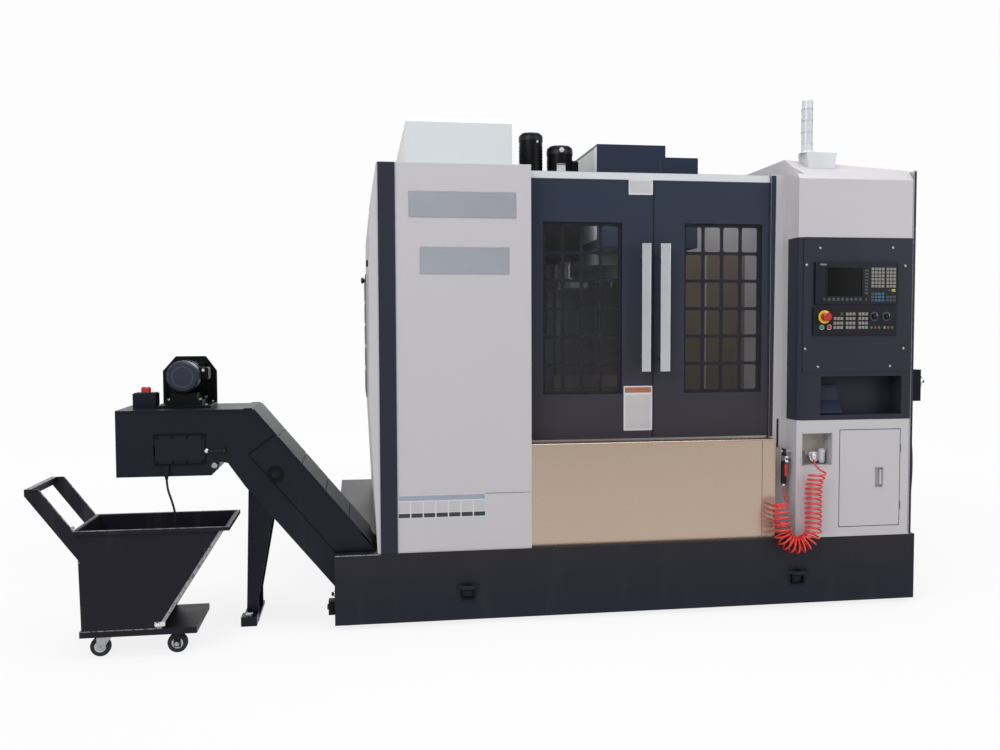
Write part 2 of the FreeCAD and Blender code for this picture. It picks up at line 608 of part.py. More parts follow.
def guard_cell(sketch, left, low, right, high):
    """One opening of the guard: four lines joined by four corner arcs."""
    corner = "guard_corner"
    first = sketch.GeometryCount
    r = value(corner)
    x0, z0, x1, z1 = (value(e) for e in (left, low, right, high))
    lines = [((x0 + r, z0), (x1 - r, z0)), ((x1, z0 + r), (x1, z1 - r)),
             ((x1 - r, z1), (x0 + r, z1)), ((x0, z1 - r), (x0, z0 + r))]
    centres = [(x1 - r, z0 + r), (x1 - r, z1 - r), (x0 + r, z1 - r), (x0 + r, z0 + r)]
    starts = [-90, 0, 90, 180]
    for a, b in lines:
        sketch.addGeometry(Part.LineSegment(Vector(*a, 0), Vector(*b, 0)), False)
    for (x, z), start in zip(centres, starts):
        circle = Part.Circle(Vector(x, z, 0), Vector(0, 0, 1), r)
        sketch.addGeometry(Part.ArcOfCircle(circle, math.radians(start), math.radians(start + 90)))
    for i in range(4):
        sketch.addConstraint(Sketcher.Constraint("Tangent", first + i, 2, first + 4 + i, 1))
        sketch.addConstraint(Sketcher.Constraint("Tangent", first + 4 + i, 2, first + (i + 1) % 4, 1))
        sketch.addConstraint(Sketcher.Constraint(
            "Horizontal" if i % 2 == 0 else "Vertical", first + i))
    for i in range(4):
        size = sketch.addConstraint(Sketcher.Constraint("Radius", first + 4 + i, r))
        sketch.setExpression(f"Constraints[{size}]", bound(corner))
    fix(sketch, "DistanceY", first, 1, low)
    fix(sketch, "DistanceX", first + 1, 1, right)
    fix(sketch, "DistanceY", first + 2, 1, high)
    fix(sketch, "DistanceX", first + 3, 1, left)


def door(side, left, right, pane_a, pane_b):
    # A thick framed sheet; its window is a recess whose back is the punched guard.
    front, back = depth("door_front"), depth("door_front+door_thick")
    outline = [(left, "door_low"), (right, "door_low"), (right, "door_high"), (left, "door_high")]
    body = prism(f"door_{side}_frame", "XZ", outline, (front, back))
    doc.recompute()
    sketch = drawing(body, f"door_{side}_window", "XZ", f"-({front})")
    loop(sketch, [(pane_a, "pane_low"), (pane_b, "pane_low"), (pane_b, "pane_high"),
                  (pane_a, "pane_high")])
    recess = body.newObject("PartDesign::Pocket", f"door_{side}_recess")
    recess.Profile = sketch
    recess.setExpression("Length", bound("door_thick-guard_thick"))
    cell = drawing(body, f"door_{side}_cell", "XZ", f"-({back})")
    pitch_x = f"(({pane_b})-({pane_a})-guard_bar)/guard_columns"
    pitch_z = "(pane_high-pane_low-guard_bar)/guard_rows"
    guard_cell(cell, f"{pane_a}+guard_bar", "pane_low+guard_bar",
               f"{pane_a}+{pitch_x}", f"pane_low+{pitch_z}")
    gap = body.newObject("PartDesign::Pocket", f"door_{side}_gap")
    gap.Profile = cell
    gap.Type = 1
    gap.Midplane = True
    doc.recompute()
    many = body.newObject("PartDesign::MultiTransform", f"door_{side}_guard")
    many.Originals = [gap]
    steps = []
    for axis, pitch, count in (("H_Axis", pitch_x, "guard_columns"), ("V_Axis", pitch_z, "guard_rows")):
        row = body.newObject("PartDesign::LinearPattern", f"door_{side}_{axis.lower()}")
        row.Direction = (cell, [axis])
        row.setExpression("Length", bound(f"({pitch})*({count}-1)"))
        row.setExpression("Occurrences", bound(count))
        steps.append(row)
    many.Transformations = steps
    body.Tip = many
    middle = "door_front+door_thick/2"
    groove = (depth(f"{middle}-groove_width/2"), depth(f"{middle}+groove_width/2"))
    grooves = [box(f"door_{side}_low_groove", (f"{left}-1", f"{right}+1"), groove,
                   ("door_low-1", "door_low+groove_depth")),
               box(f"door_{side}_high_groove", (f"{left}-1", f"{right}+1"), groove,
                   ("door_high-groove_depth", "door_high+1"))]
    node(f"door_{side}", cut(f"door_{side}_grooved", body, grooves))
    pane = box(f"pane_{side}", (f"{pane_a}+slip", f"{pane_b}-slip"),
               (depth("door_front+pane_set"), depth("door_front+pane_set+glass_thick")),
               ("pane_low+slip", "pane_high-slip"))
    node(f"door_glass_{side}", pane)


def handle(side):
    low, high = f"handle_{side}_a", f"handle_{side}_b"
    bar = [(low, "handle_low"), (high, "handle_low"), (high, "handle_high"), (low, "handle_high")]
    body = prism(f"handle_{side}_bar", "XZ", bar,
                 (depth("handle_front"), depth("handle_front+handle_thick")))
    soften(body, "Fillet", "sheet", along("z"))
    middle = f"({low}+{high})/2"
    parts = [body]
    for i, z in enumerate(("handle_low+standoff_inset", "handle_high-standoff_inset")):
        parts.append(cylinder(f"handle_{side}_standoff_{i}", "y", (middle, z),
                              (depth("handle_front+handle_thick-1"), depth("door_front")), "standoff"))
    node(f"door_handle_{side}", fuse(f"handle_{side}", parts))


# ---- Operator cabinet, console and hood ----------------------------------------------
sizes(console_left=725, console_round=22, console_depth=105, cabinet_top=840, console_top=1648)
sizes(cab_door_left=929, cab_door_right=1224, cab_door_low=356, cab_door_high=796, door_slit=0.8)
sizes(pull_left=1103, pull_right=1141, pull_low=532, pull_high=621, pull_deep=14)
sizes(niche_left=753, niche_right=895, niche_low=638, niche_high=781, niche_deep=80)
sizes(tray_left=837, tray_right=1224, tray_low=862, tray_high=1034, tray_deep=95)
sizes(hood_shoulder=1905, hood_brow=1955, hood_brow_depth=50, hood_ridge=2010, hood_ridge_depth=150)
sizes(hood_rear=700, hood_under=1935, hood_bevel=60)
sizes(hose_x=787, hose_y=-42, fitting_height=690, fitting_radius=9, nozzle_low=672, nozzle_radius=8)
sizes(gauge_x=837, gauge_height=670, gauge_radius=20, gauge_face=58)
sizes(gun_x=690, gun_y=50, hook_height=698, hook_radius=4, eye_radius=5)


def operator_cabinet():
    span = (depth("0"), depth("console_depth"))
    outer = box("cabinet_outer_box", ("console_left", "strip_left"), span, ("base_top", "cabinet_top"))
    inner = box("cabinet_inner_box", ("console_left+sheet", "strip_left-sheet"),
                (depth("sheet"), depth("console_depth-sheet")), ("base_top+sheet", "cabinet_top-sheet"))
    shell = cut("cabinet_shell", outer, [inner])
    rim = "sheet"
    pan = box("niche_pan", (f"niche_left-{rim}", f"niche_right+{rim}"),
              (depth("0"), depth(f"niche_deep+{rim}")), (f"niche_low-{rim}", f"niche_high+{rim}"))
    rear = depth("console_depth-sheet")
    strut = box("niche_strut", ("gauge_x-10", "gauge_x+10"), (depth("niche_deep"), rear),
                ("niche_low", "niche_low+30"))
    whole = fuse("cabinet_walls", [shell, pan, strut])
    openings = [box("niche_space", ("niche_left", "niche_right"), (depth("-1"), depth("niche_deep")),
                    ("niche_low", "niche_high")),
                box("cabinet_mouth", ("cab_door_left", "cab_door_right"),
                    (depth("-1"), depth("sheet+1")), ("cab_door_low", "cab_door_high"))]
    opened = cut("cabinet_opened", whole, openings)
    stem = cylinder("fitting_stem", "y", ("hose_x", "fitting_height"),
                    (depth("hose_y"), depth("niche_deep+1")), "fitting_radius")
    tip = turned("fitting_nozzle", "z", ("hose_x", depth("hose_y")),
                 [("nozzle_low", "0"), ("nozzle_low", "nozzle_radius"),
                  ("fitting_height", "nozzle_radius"), ("fitting_height+fitting_radius", "fitting_radius"),
                  ("fitting_height+fitting_radius+4", "fitting_radius-4"),
                  ("fitting_height+fitting_radius+4", "0")])
    gauge = cylinder("gauge", "y", ("gauge_x", "gauge_height"),
                     (depth("gauge_face"), depth("niche_deep+1")), "gauge_radius")
    hook = cylinder("gun_hook", "x", (depth("gun_y"), "hook_height"),
                    ("gun_x-12", "console_left+1"), "hook_radius")
    node("operator_cabinet", fuse("cabinet", [opened, stem, tip, gauge, hook]))


def cabinet_door():
    left, right = "cab_door_left+door_slit", "cab_door_right-door_slit"
    low, high = "cab_door_low+door_slit", "cab_door_high-door_slit"
    skin = box("cab_door_skin", (left, right), (depth("0"), depth("sheet")), (low, high))
    cup = box("pull_cup", ("pull_left-sheet", "pull_right+sheet"), (depth("0"), depth("pull_deep+sheet")),
              ("pull_low-sheet", "pull_high+sheet"))
    space = box("pull_space", ("pull_left", "pull_right"), (depth("-1"), depth("pull_deep")),
                ("pull_low", "pull_high"))
    node("cabinet_door", cut("cab_door", fuse("cab_door_whole", [skin, cup]), [space]))


def console_box():
    plan = [("console_left", depth("0")), ("strip_left", depth("0")),
            ("strip_left", depth("console_depth")), ("console_left", depth("console_depth"))]
    block = prism("console_block", "XY", plan, ("cabinet_top", "console_top"))
    left = value("console_left")
    soften(block, "Fillet", "console_round", lambda edge: along("z")(edge) and all(
        v.X < left + 1 and v.Y < value(depth("1")) for v in edge.Vertexes))
    tray = box("console_tray", ("tray_left", "tray_right"), (depth("-1"), depth("tray_deep")),
               ("tray_low", "tray_high"))
    node("console_box", cut("console", block, [tray]))


def console_hood():
    # The side line gives the brow and roof; a wedge makes the roof fall to the right.
    side = [(depth("0"), "console_top"), (depth("console_depth"), "console_top"),
            (depth("console_depth"), "hood_under"), (depth("hood_rear"), "hood_under"),
            (depth("hood_rear"), "hood_ridge"), (depth("hood_ridge_depth"), "hood_ridge"),
            (depth("hood_brow_depth"), "hood_brow"), (depth("0"), "hood_shoulder")]
    block = prism("hood_block", "YZ", side, ("console_left", "strip_left"))
    wedge = [("console_left", "hood_ridge"), ("strip_left+1", "hood_brow"),
             ("strip_left+1", "hood_ridge+20"), ("console_left", "hood_ridge+20")]
    fall = prism("hood_fall", "XZ", wedge, (depth("-10"), depth("hood_rear+10")))
    bevel = [("console_left-1", depth("-1")), ("console_left+hood_bevel", depth("-1")),
             ("console_left-1", depth("hood_bevel"))]
    corner = prism("hood_corner", "XY", bevel, ("hood_under-7", "hood_ridge+20"))
    return node("console_hood", cut("hood", block, [fall, corner]))


sizes(tower_x=806, tower_y=100, tower_radius=26.5, tower_top=2270, tray_top=2030, tray_bottom=1960)
sizes(tray_half=72, tray_shift=52, tray_taper=10, tray_depth_half=42, lens_radius=25, lens_low=2075)
sizes(lens_height=52, lens_count=3)


def signal_tower(hood):
    top = [("tower_x+tray_shift-tray_half", "tray_top"), ("tower_x+tray_shift+tray_half", "tray_top"),
           ("tower_x+tray_shift+tray_half-tray_taper", "tray_bottom"),
           ("tower_x+tray_shift-tray_half+tray_taper", "tray_bottom")]
    tray = prism("tower_tray", "XZ", top,
                 (depth("tower_y-tray_depth_half"), depth("tower_y+tray_depth_half")))
    seat = cut("tower_seat", tray, [hood])
    line = [("tray_top-1", "0"), ("tray_top-1", "tower_radius"), ("lens_low", "tower_radius")]
    for i in range(SIZES["lens_count"]):
        low, high = f"lens_low+{i}*lens_height", f"lens_low+{i + 1}*lens_height"
        line += [(low, "lens_radius"), (f"{high}-6", "lens_radius"), (f"{high}-6", "tower_radius"),
                 (high, "tower_radius")]
    line += [("tower_top-8", "tower_radius"), ("tower_top", "tower_radius-8"), ("tower_top", "0")]
    stack = turned("tower_stack", "z", ("tower_x", depth("tower_y")), line)
    node("signal_tower", fuse("tower", [seat, stack]))


# ---- Operator plate, display, keys, buttons and knobs --------------------------------
sizes(plate_left=749, plate_right=1264, plate_low=1054, plate_high=1644)
sizes(display_left=799, display_right=1192, display_low=1353, display_high=1540, display_out=9)
sizes(screen_left=855, screen_right=1019, screen_low=1390, screen_high=1515, screen_deep=3)
sizes(keys_left=793, keys_right=1188, keys_low=1217, keys_high=1342, keys_out=8)
sizes(estop_x=845, estop_height=1298, button_height=1252, green_x=831, red_x=867)
sizes(knob_left_x=1081, knob_right_x=1140, knob_height=1300, well_depth=9, button_gap=4.5)
sizes(estop_collar=16, estop_collar_out=8, estop_head=20, estop_stem=8, estop_out=34)
sizes(push_radius=8, push_out=6, knob_radius=14, knob_out=18, knob_stem=4)


def operator_face():
    def slab(name, x, z, out, base):
        return box(name, x, (depth(f"-({out})"), depth(f"-({base})")), z)
    node("operator_plate", slab("plate", ("plate_left", "plate_right"),
                                ("plate_low", "plate_high"), "sheet", "0"))
    unit = slab("display_block", ("display_left", "display_right"), ("display_low", "display_high"),
                "sheet+display_out", "sheet")
    screen = box("screen_recess", ("screen_left", "screen_right"),
                 (depth("-sheet-display_out-1"), depth("-sheet-display_out+screen_deep")),
                 ("screen_low", "screen_high"))
    node("display_unit", cut("display", unit, [screen]))
    panel = slab("keys_block", ("keys_left", "keys_right"), ("keys_low", "keys_high"),
                 "sheet+keys_out", "sheet")
    face = "-sheet-keys_out"
    collar = cylinder("estop_collar_ring", "y", ("estop_x", "estop_height"),
                      (depth(f"{face}-estop_collar_out"), depth(f"{face}+1")), "estop_collar")
    wells = []
    for name, x, z, radius in (("green", "green_x", "button_height", "push_radius"),
                               ("red", "red_x", "button_height", "push_radius"),
                               ("knob_left", "knob_left_x", "knob_height", "knob_stem"),
                               ("knob_right", "knob_right_x", "knob_height", "knob_stem"),
                               ("estop", "estop_x", "estop_height", "estop_stem")):
        top = f"{face}-estop_collar_out-1" if name == "estop" else f"{face}-1"
        wells.append(cylinder(f"{name}_well", "y", (x, z), (depth(top), depth("-sheet-0.5")),
                              f"{radius}+loose"))
    node("key_panel", cut("keys", fuse("keys_whole", [panel, collar]), wells))
    crown = f"{face}-estop_out"
    gap = f"{face}-estop_collar_out-button_gap"
    head = [(depth(crown), "0"), (depth(crown), "estop_head-4"), (depth(f"{crown}+4"), "estop_head"),
            (depth(gap), "estop_head"), (depth(gap), "estop_stem"), (depth(f"{face}-1"), "estop_stem"),
            (depth(f"{face}-1"), "0")]
    node("console_estop", turned("estop", "y", ("estop_x", "estop_height"), head))
    for label, x in (("start_button", "green_x"), ("stop_button", "red_x")):
        cap = [(depth(f"{face}-push_out"), "0"), (depth(f"{face}-push_out"), "push_radius"),
               (depth(f"{face}+3"), "push_radius"), (depth(f"{face}+3"), "0")]
        node(label, turned(label + "_cap", "y", (x, "button_height"), cap))
    for label, x in (("feed_knob", "knob_left_x"), ("spindle_knob", "knob_right_x")):
        line = [(depth(f"{face}-knob_out"), "0"), (depth(f"{face}-knob_out"), "knob_radius-2"),
                (depth(f"{face}-slip"), "knob_radius"), (depth(f"{face}-slip"), "knob_stem"),
                (depth(f"{face}+6"), "knob_stem"), (depth(f"{face}+6"), "0")]
        body = turned(label + "_dial", "y", (x, "knob_height"), line)
        ridge = box(label + "_ridge", (f"{x}-2", f"{x}+2"),
                    (depth(f"{face}-knob_out-4"), depth(f"{face}-knob_out+1")),
                    ("knob_height-knob_radius+3", "knob_height+knob_radius-3"))
        node(label, fuse(label + "_whole", [body, ridge]))


# ---- Hand wheel unit ------------------------------------------------------------------
sizes(unit_out=41, unit_front=5, unit_rear=85, unit_low=918, unit_high=1060)
sizes(wheel_y=45, dial_height=1005, dial_radius=34, dial_thick=15, dial_stem=6)
sizes(crank_radius=4, crank_reach=24, crank_out=10)
sizes(cable_x=1292, cable_y=40, cable_radius=4, gland_radius=7, gland_length=12, lower_gland=14)


def handwheel_parts():
    face = "enclosure_right+unit_out"
    block = box("unit_block", ("enclosure_right", face), (depth("unit_front"), depth("unit_rear")),
                ("unit_low", "unit_high"))
    gland = cylinder("unit_gland", "z", ("cable_x", depth("cable_y")),
                     ("unit_low-gland_length", "unit_low+1"), "gland_radius")
    well = cylinder("unit_well", "x", (depth("wheel_y"), "dial_height"), (f"{face}-12", f"{face}+1"),
                    "dial_stem+loose")
    node("handwheel_unit", cut("unit", fuse("unit_whole", [block, gland]), [well]))
    line = [(f"{face}-10", "0"), (f"{face}-10", "dial_stem"), (f"{face}+slip", "dial_stem"),
            (f"{face}+slip", "dial_radius"), (f"{face}+dial_thick-4", "dial_radius"),
            (f"{face}+dial_thick", "dial_radius-3"), (f"{face}+dial_thick", "0")]
    dial = turned("dial", "x", (depth("wheel_y"), "dial_height"), line)
    crank = cylinder("crank", "x", (depth("wheel_y-crank_reach"), "dial_height"),
                     (f"{face}+dial_thick-1", f"{face}+dial_thick+crank_out"), "crank_radius")
    node("handwheel", fuse("dial_whole", [dial, crank]))


# ---- Chip conveyor ---------------------------------------------------------------------
# Its housing runs flat in the base's trough, climbs to the left and ends in a raised head
# that is open below. The housing's line is given in the XZ plane.
sizes(conv_front=60, conv_rear=390, conv_skin=4, head_left=-2167, head_high=925, head_low=654)
sizes(bend_x=-1632, slope_height=925, rise_run=0.8282, flat_high=240, flat_inset=60)
sizes(knee_x=-1661, knee_height=606)
sizes(throat_x=-1728, throat_height=703, notch_x=-1760, notch_height=710, lip_x=-1767, lip_height=680)
sizes(head_end=-1794, exit_left=-2120, exit_right=-1850, mouth_start=-1040, cover_wide=6, cover_thick=4)
sizes(hatch_left=-2014, hatch_right=-1820, hatch_low=707, hatch_high=820, hatch_thick=4)
sizes(stop_box_left=-2122, stop_box_right=-2030, stop_box_front=170, stop_box_rear=250)
sizes(stop_box_rise=61, stop_well=14, mushroom_radius=20, mushroom_out=27, mushroom_stem=8)
sizes(belt_gap=6, belt_thick=22, cleat_out=26, cleat_wide=10, cleat_count=12)
sizes(conv_cable_x=-1970, clip_low=662, clip_high=700, clip_out=14, conv_cable_radius=4.5)

FLOOR = "floor_gap+base_floor"
# The slope passes through bend_x at slope_height, so a higher head bends further to the left.
BEND = "bend_x-(head_high-slope_height)*rise_run"


def slope(top_x, top_height, height):
    """Where a line that falls to the right at the conveyor's slope meets a height."""
    return f"{top_x}+(({top_height})-({height}))*rise_run"


def conveyor_line(skin):
    """The housing's outline, moved inward by a skin."""
    steep = f"{skin}*1.3"
    low = f"{FLOOR}+{skin}"
    return [(f"head_left+{skin}", f"head_high-{skin}"), (f"{BEND}-{skin}*0.5", f"head_high-{skin}"),
            (slope(f"bend_x-{steep}", "slope_height", f"flat_high-{skin}"), f"flat_high-{skin}"),
            (f"base_length/2-flat_inset-{skin}", f"flat_high-{skin}"), (f"base_length/2-flat_inset-{skin}", low),
            (slope(f"knee_x+{steep}", "knee_height", low), low),
            (f"knee_x+{steep}", "knee_height"),
            (f"throat_x+{skin}", f"throat_height+{skin}"), (f"notch_x", f"notch_height+{skin}"),
            (f"lip_x-{skin}", f"lip_height+{skin}"), (f"head_end-{skin}", f"head_low+{skin}"),
            (f"head_left+{skin}", f"head_low+{skin}")]


def conveyor_body():
    span = (depth("conv_front"), depth("conv_rear"))
    inside = (depth("conv_front+conv_skin"), depth("conv_rear-conv_skin"))
    shell = prism("conv_outer", "XZ", conveyor_line("0"), span)
    lid = [(f"{BEND}-30", "head_high"), (BEND, "head_high"),
           (slope("bend_x", "slope_height", "base_top+80"), "base_top+80"),
           (slope("bend_x+cover_thick*1.3", "slope_height+cover_thick", "base_top+80"),
            "base_top+80"),
           (f"{BEND}+cover_thick", "head_high+cover_thick"), (f"{BEND}-30", "head_high+cover_thick")]
    cover = prism("conv_cover", "XZ", lid, (depth("conv_front-cover_wide"), depth("conv_rear+cover_wide")))
    hatch = box("conv_hatch", ("hatch_left", "hatch_right"),
                (depth("conv_front-hatch_thick"), depth("conv_front+1")), ("hatch_low", "hatch_high"))
    stop = box("stop_box", ("stop_box_left", "stop_box_right"),
               (depth("stop_box_front"), depth("stop_box_rear")), ("head_high-1", "head_high+stop_box_rise"))
    clip = box("cable_clip", ("conv_cable_x-10", "conv_cable_x+10"),
               (depth("conv_front-clip_out"), depth("conv_front+1")), ("clip_low", "clip_high"))
    void = prism("conv_inner", "XZ", conveyor_line("conv_skin"), inside)
    mouth = box("conv_mouth", ("mouth_start", "base_length/2-flat_inset-conv_skin"), inside, ("flat_high-20", "flat_high+1"))
    outlet = box("conv_exit", ("exit_left", "exit_right"), inside, ("head_low-1", "head_low+20"))
    middle = ("(stop_box_left+stop_box_right)/2", depth("(stop_box_front+stop_box_rear)/2"))
    well = cylinder("stop_well_hole", "z", middle, ("head_high+stop_box_rise-stop_well", "head_high+stop_box_rise+1"),
                    "mushroom_stem+loose")
    whole = fuse("conv_whole", [shell, cover, hatch, stop, clip])
    node("conveyor_body", cut("conv", whole, [void, mouth, outlet, well]))
    top = "head_high+stop_box_rise"
    cap = [(f"{top}-8", "0"), (f"{top}-8", "mushroom_stem"), (f"{top}+5", "mushroom_stem"),
           (f"{top}+5", "mushroom_radius"), (f"{top}+mushroom_out-5", "mushroom_radius"),
           (f"{top}+mushroom_out", "mushroom_radius-5"),
           (f"{top}+mushroom_out", "0")]
    node("conveyor_estop", turned("stop_cap", "z", middle, cap))


def conveyor_belt():
    # The hinged slat belt lies on the housing's floor, with a cleat at each pitch.
    low = f"{FLOOR}+conv_skin+belt_gap"
    high = f"{low}+belt_thick"
    line = [("base_length/2-flat_inset-conv_skin-20", low), ("base_length/2-flat_inset-conv_skin-20", high)]
    pitch = "(base_length/2-flat_inset-conv_skin-60-mouth_start)/cleat_count"
    for i in range(SIZES["cleat_count"]):
        right = f"base_length/2-flat_inset-conv_skin-40-{i}*{pitch}"
        line += [(right, high), (right, f"{high}+cleat_out"),
                 (f"{right}-cleat_wide", f"{high}+cleat_out"), (f"{right}-cleat_wide", high)]
    line += [(slope("knee_x+belt_gap+belt_thick*2+8", "knee_height", high), high),
             ("knee_x+belt_gap+belt_thick*2+8", "knee_height+belt_thick+30"),
             ("throat_x", "head_high-130"), ("exit_right+90", "head_high-130"),
             ("exit_right+90", "head_high-130-belt_thick"), ("throat_x-6", "head_high-130-belt_thick"),
             ("knee_x+belt_gap+14", "knee_height+30"),
             (slope("knee_x+belt_gap+14", "knee_height+30", low), low)]
    node("conveyor_belt", prism("belt", "XZ", line,
                                (depth("conv_front+conv_skin"), depth("conv_rear-conv_skin"))))


sizes(leg_head_x=-1560, leg_head_height=466, leg_foot_x=-1627, leg_foot_height=98, leg_left=-1677)
sizes(leg_front=185, foot_left=-1695, foot_right=-1627, foot_rear=456, foot_thick=14)
sizes(leg_web=5)


def conveyor_leg():
    # A folded channel: two tapered cheeks and a web, on a foot bar.
    seat = slope("knee_x", "knee_height", "0")
    under = f"knee_height-(leg_head_x-knee_x)/rise_run"
    cheek = [("leg_left", "foot_thick"), ("leg_foot_x", "foot_thick"), ("leg_foot_x", "leg_foot_height"),
             ("leg_head_x", "leg_head_height"), ("leg_head_x", under), ("knee_x", "knee_height")]
    web = [("leg_left", "foot_thick"), ("leg_left+leg_web", "foot_thick"),
           ("knee_x+leg_web", f"knee_height-leg_web/rise_run"), ("knee_x", "knee_height")]
    parts = [prism("leg_front_cheek", "XZ", cheek, (depth("leg_front"), depth("leg_front+leg_web"))),
             prism("leg_rear_cheek", "XZ", cheek, (depth("conv_rear-leg_web"), depth("conv_rear"))),
             prism("leg_web_plate", "XZ", web, (depth("leg_front"), depth("conv_rear"))),
             box("leg_foot", ("foot_left", "foot_right"), (depth("leg_front"), depth("foot_rear")),
                 ("0", "foot_thick"))]
    node("conveyor_leg", fuse("leg", parts))


sizes(motor_x=-1919, motor_rise=130, motor_front=160, motor_rear=300, motor_radius=64)
sizes(motor_ring=4, motor_rings=2, gear_half=62, gear_rear=366, gear_low=50, gear_high=185)
sizes(seat_left=-1992, seat_right=-1846, seat_front=185, seat_high=60, seat_step=30)
sizes(guard_left=-2039, guard_right=-1810, guard_top=211, guard_shoulder=147, guard_plate=4)
sizes(guard_cut_left=-1983, guard_cut_right=-1856)


def conveyor_motor():
    # A finned geared motor on a stepped seat, in front of its guard plate.
    centre = ("motor_x", "head_high+motor_rise")
    line = [(depth("motor_front"), "0"), (depth("motor_front"), "motor_radius-8"),
            (depth("motor_front+8"), "motor_radius")]
    fins = "(motor_rear-motor_front-60)/motor_rings"
    for i in range(SIZES["motor_rings"]):
        place = f"motor_front+45+{i}*{fins}"
        line += [(depth(place), "motor_radius"), (depth(place), "motor_radius-motor_ring"),
                 (depth(f"{place}+{fins}/2"), "motor_radius-motor_ring"),
                 (depth(f"{place}+{fins}/2"), "motor_radius")]
    line += [(depth("motor_rear+2"), "motor_radius"), (depth("motor_rear+2"), "0")]
    parts = [turned("geared_motor", "y", centre, line),
             box("gear_case", ("motor_x-gear_half", "motor_x+gear_half"),
                 (depth("motor_rear"), depth("gear_rear")),
                 ("head_high+gear_low", "head_high+gear_high")),
             box("motor_seat", ("seat_left+20", "seat_right-20"),
                 (depth("seat_front"), depth("gear_rear")),
                 ("head_high+seat_step-1", "head_high+seat_high")),
             box("motor_foot", ("seat_left", "seat_right"), (depth("seat_front"), depth("gear_rear+8")),
                 ("head_high", "head_high+seat_step"))]
    plate = [("guard_left", "head_high"), ("guard_right", "head_high"),
             ("guard_right", "head_high+guard_shoulder"), ("guard_cut_right", "head_high+guard_top"),
             ("guard_cut_left", "head_high+guard_top"), ("guard_left", "head_high+guard_shoulder")]
    parts.append(prism("motor_guard", "XZ", plate,
                       (depth("gear_rear+8"), depth("gear_rear+8+guard_plate"))))
    node("conveyor_motor", fuse("motor_whole", parts))


# ---- Chip cart ---------------------------------------------------------------------------
sizes(cart_front=-205, cart_rear=115, rim_left=-2250, rim_right=-1704, rim_height=495)
sizes(tub_left=-2242, tub_right=-1951, tub_low=108, tub_skin=3, rim_fold=14)
sizes(chassis_right=-1820, chassis_low=84, chassis_high=107.7, handle_root=377, handle_end_x=-2432)
sizes(handle_end_height=645, handle_bar=24, cheek_thick=6)
sizes(caster_x=-2184, axle_x=-1899, caster_front=-160, caster_rear=70, roller_radius=38)
sizes(roller_width=24, caster_trail=22, pin_radius=5, fork_skin=4, fork_gap=3, fork_plate=24)
sizes(axle_radius=7, bracket_width=26)


def cart_tub():
    span = (depth("cart_front"), depth("cart_rear"))
    inside = (depth("cart_front+tub_skin"), depth("cart_rear-tub_skin"))
    outer = [("rim_left", "rim_height"), ("tub_left", "tub_low"), ("tub_right", "tub_low"),
             ("rim_right", "rim_height")]
    inner = [("rim_left+tub_skin", "rim_height+1"), ("tub_left+tub_skin", "tub_low+tub_skin"),
             ("tub_right-tub_skin", "tub_low+tub_skin"), ("rim_right-tub_skin*1.3", "rim_height+1")]
    fold = box("tub_rim", ("rim_left-rim_fold", "rim_right+rim_fold"),
               (depth("cart_front-rim_fold"), depth("cart_rear+rim_fold")),
               ("rim_height-rim_fold", "rim_height"))
    void = prism("tub_inner", "XZ", inner, inside)
    parts = [prism("tub_outer", "XZ", outer, span), fold]
    # Two tapered cheeks rise to the left and a bar joins them.
    arm = [("tub_left", "handle_root"), ("tub_left", "rim_height-rim_fold"),
           ("rim_left-rim_fold", "rim_height-rim_fold"), ("rim_left-rim_fold", "rim_height"),
           ("handle_end_x+handle_bar*2", "handle_end_height+handle_bar*0.5"),
           ("handle_end_x", "handle_end_height+handle_bar*0.5"),
           ("handle_end_x", "handle_end_height-handle_bar*0.5")]
    for name, low in (("front", "cart_front"), ("rear", "cart_rear-cheek_thick")):
        parts.append(prism(f"arm_{name}", "XZ", arm, (depth(low), depth(f"{low}+cheek_thick"))))
    parts.append(box("handle_rail", ("handle_end_x", "handle_end_x+handle_bar"),
                     (depth("cart_front"), depth("cart_rear")),
                     ("handle_end_height-handle_bar*0.5", "handle_end_height+handle_bar*0.5")))
    node("cart_tub", cut("cart", fuse("cart_whole", parts), [void]))


def cart_frame():
    # A folded tray under the tub, with two cheeks that carry the fixed axle.
    plate = box("chassis_plate", ("rim_left", "chassis_right"), (depth("cart_front"), depth("cart_rear")),
                ("chassis_low", "tub_low"))
    hollow = box("chassis_hollow", ("rim_left+tub_skin", "chassis_right-tub_skin"),
                 (depth("cart_front+tub_skin"), depth("cart_rear-tub_skin")),
                 ("chassis_low-1", "tub_low-tub_skin"))
    parts = [cut("chassis", plate, [hollow])]
    holes = []
    for name in ("front", "rear"):
        place = f"caster_{name}"
        pad = box(f"pad_{name}", ("caster_x+caster_trail-fork_plate", "caster_x+caster_trail+fork_plate"),
                  (depth(f"{place}-fork_plate"), depth(f"{place}+fork_plate")),
                  ("chassis_low", "tub_low-1"))
        parts.append(pad)
        for side in ("-", "+"):
            middle = f"{place}{side}(roller_width/2+fork_gap+fork_skin/2)"
            parts.append(box(f"cheek_{name}_{'in' if side == '-' else 'out'}",
                             ("axle_x-bracket_width/2", "axle_x+bracket_width/2"),
                             (depth(f"{middle}-fork_skin/2"), depth(f"{middle}+fork_skin/2")),
                             ("roller_radius-bracket_width/2", "tub_low-1")))
    holes.append(cylinder("axle_hole", "y", ("axle_x", "roller_radius"),
                          (depth("cart_front-20"), depth("cart_rear+20")), "axle_radius+loose"))
    node("cart_frame", cut("frame", fuse("frame_whole", parts), holes))


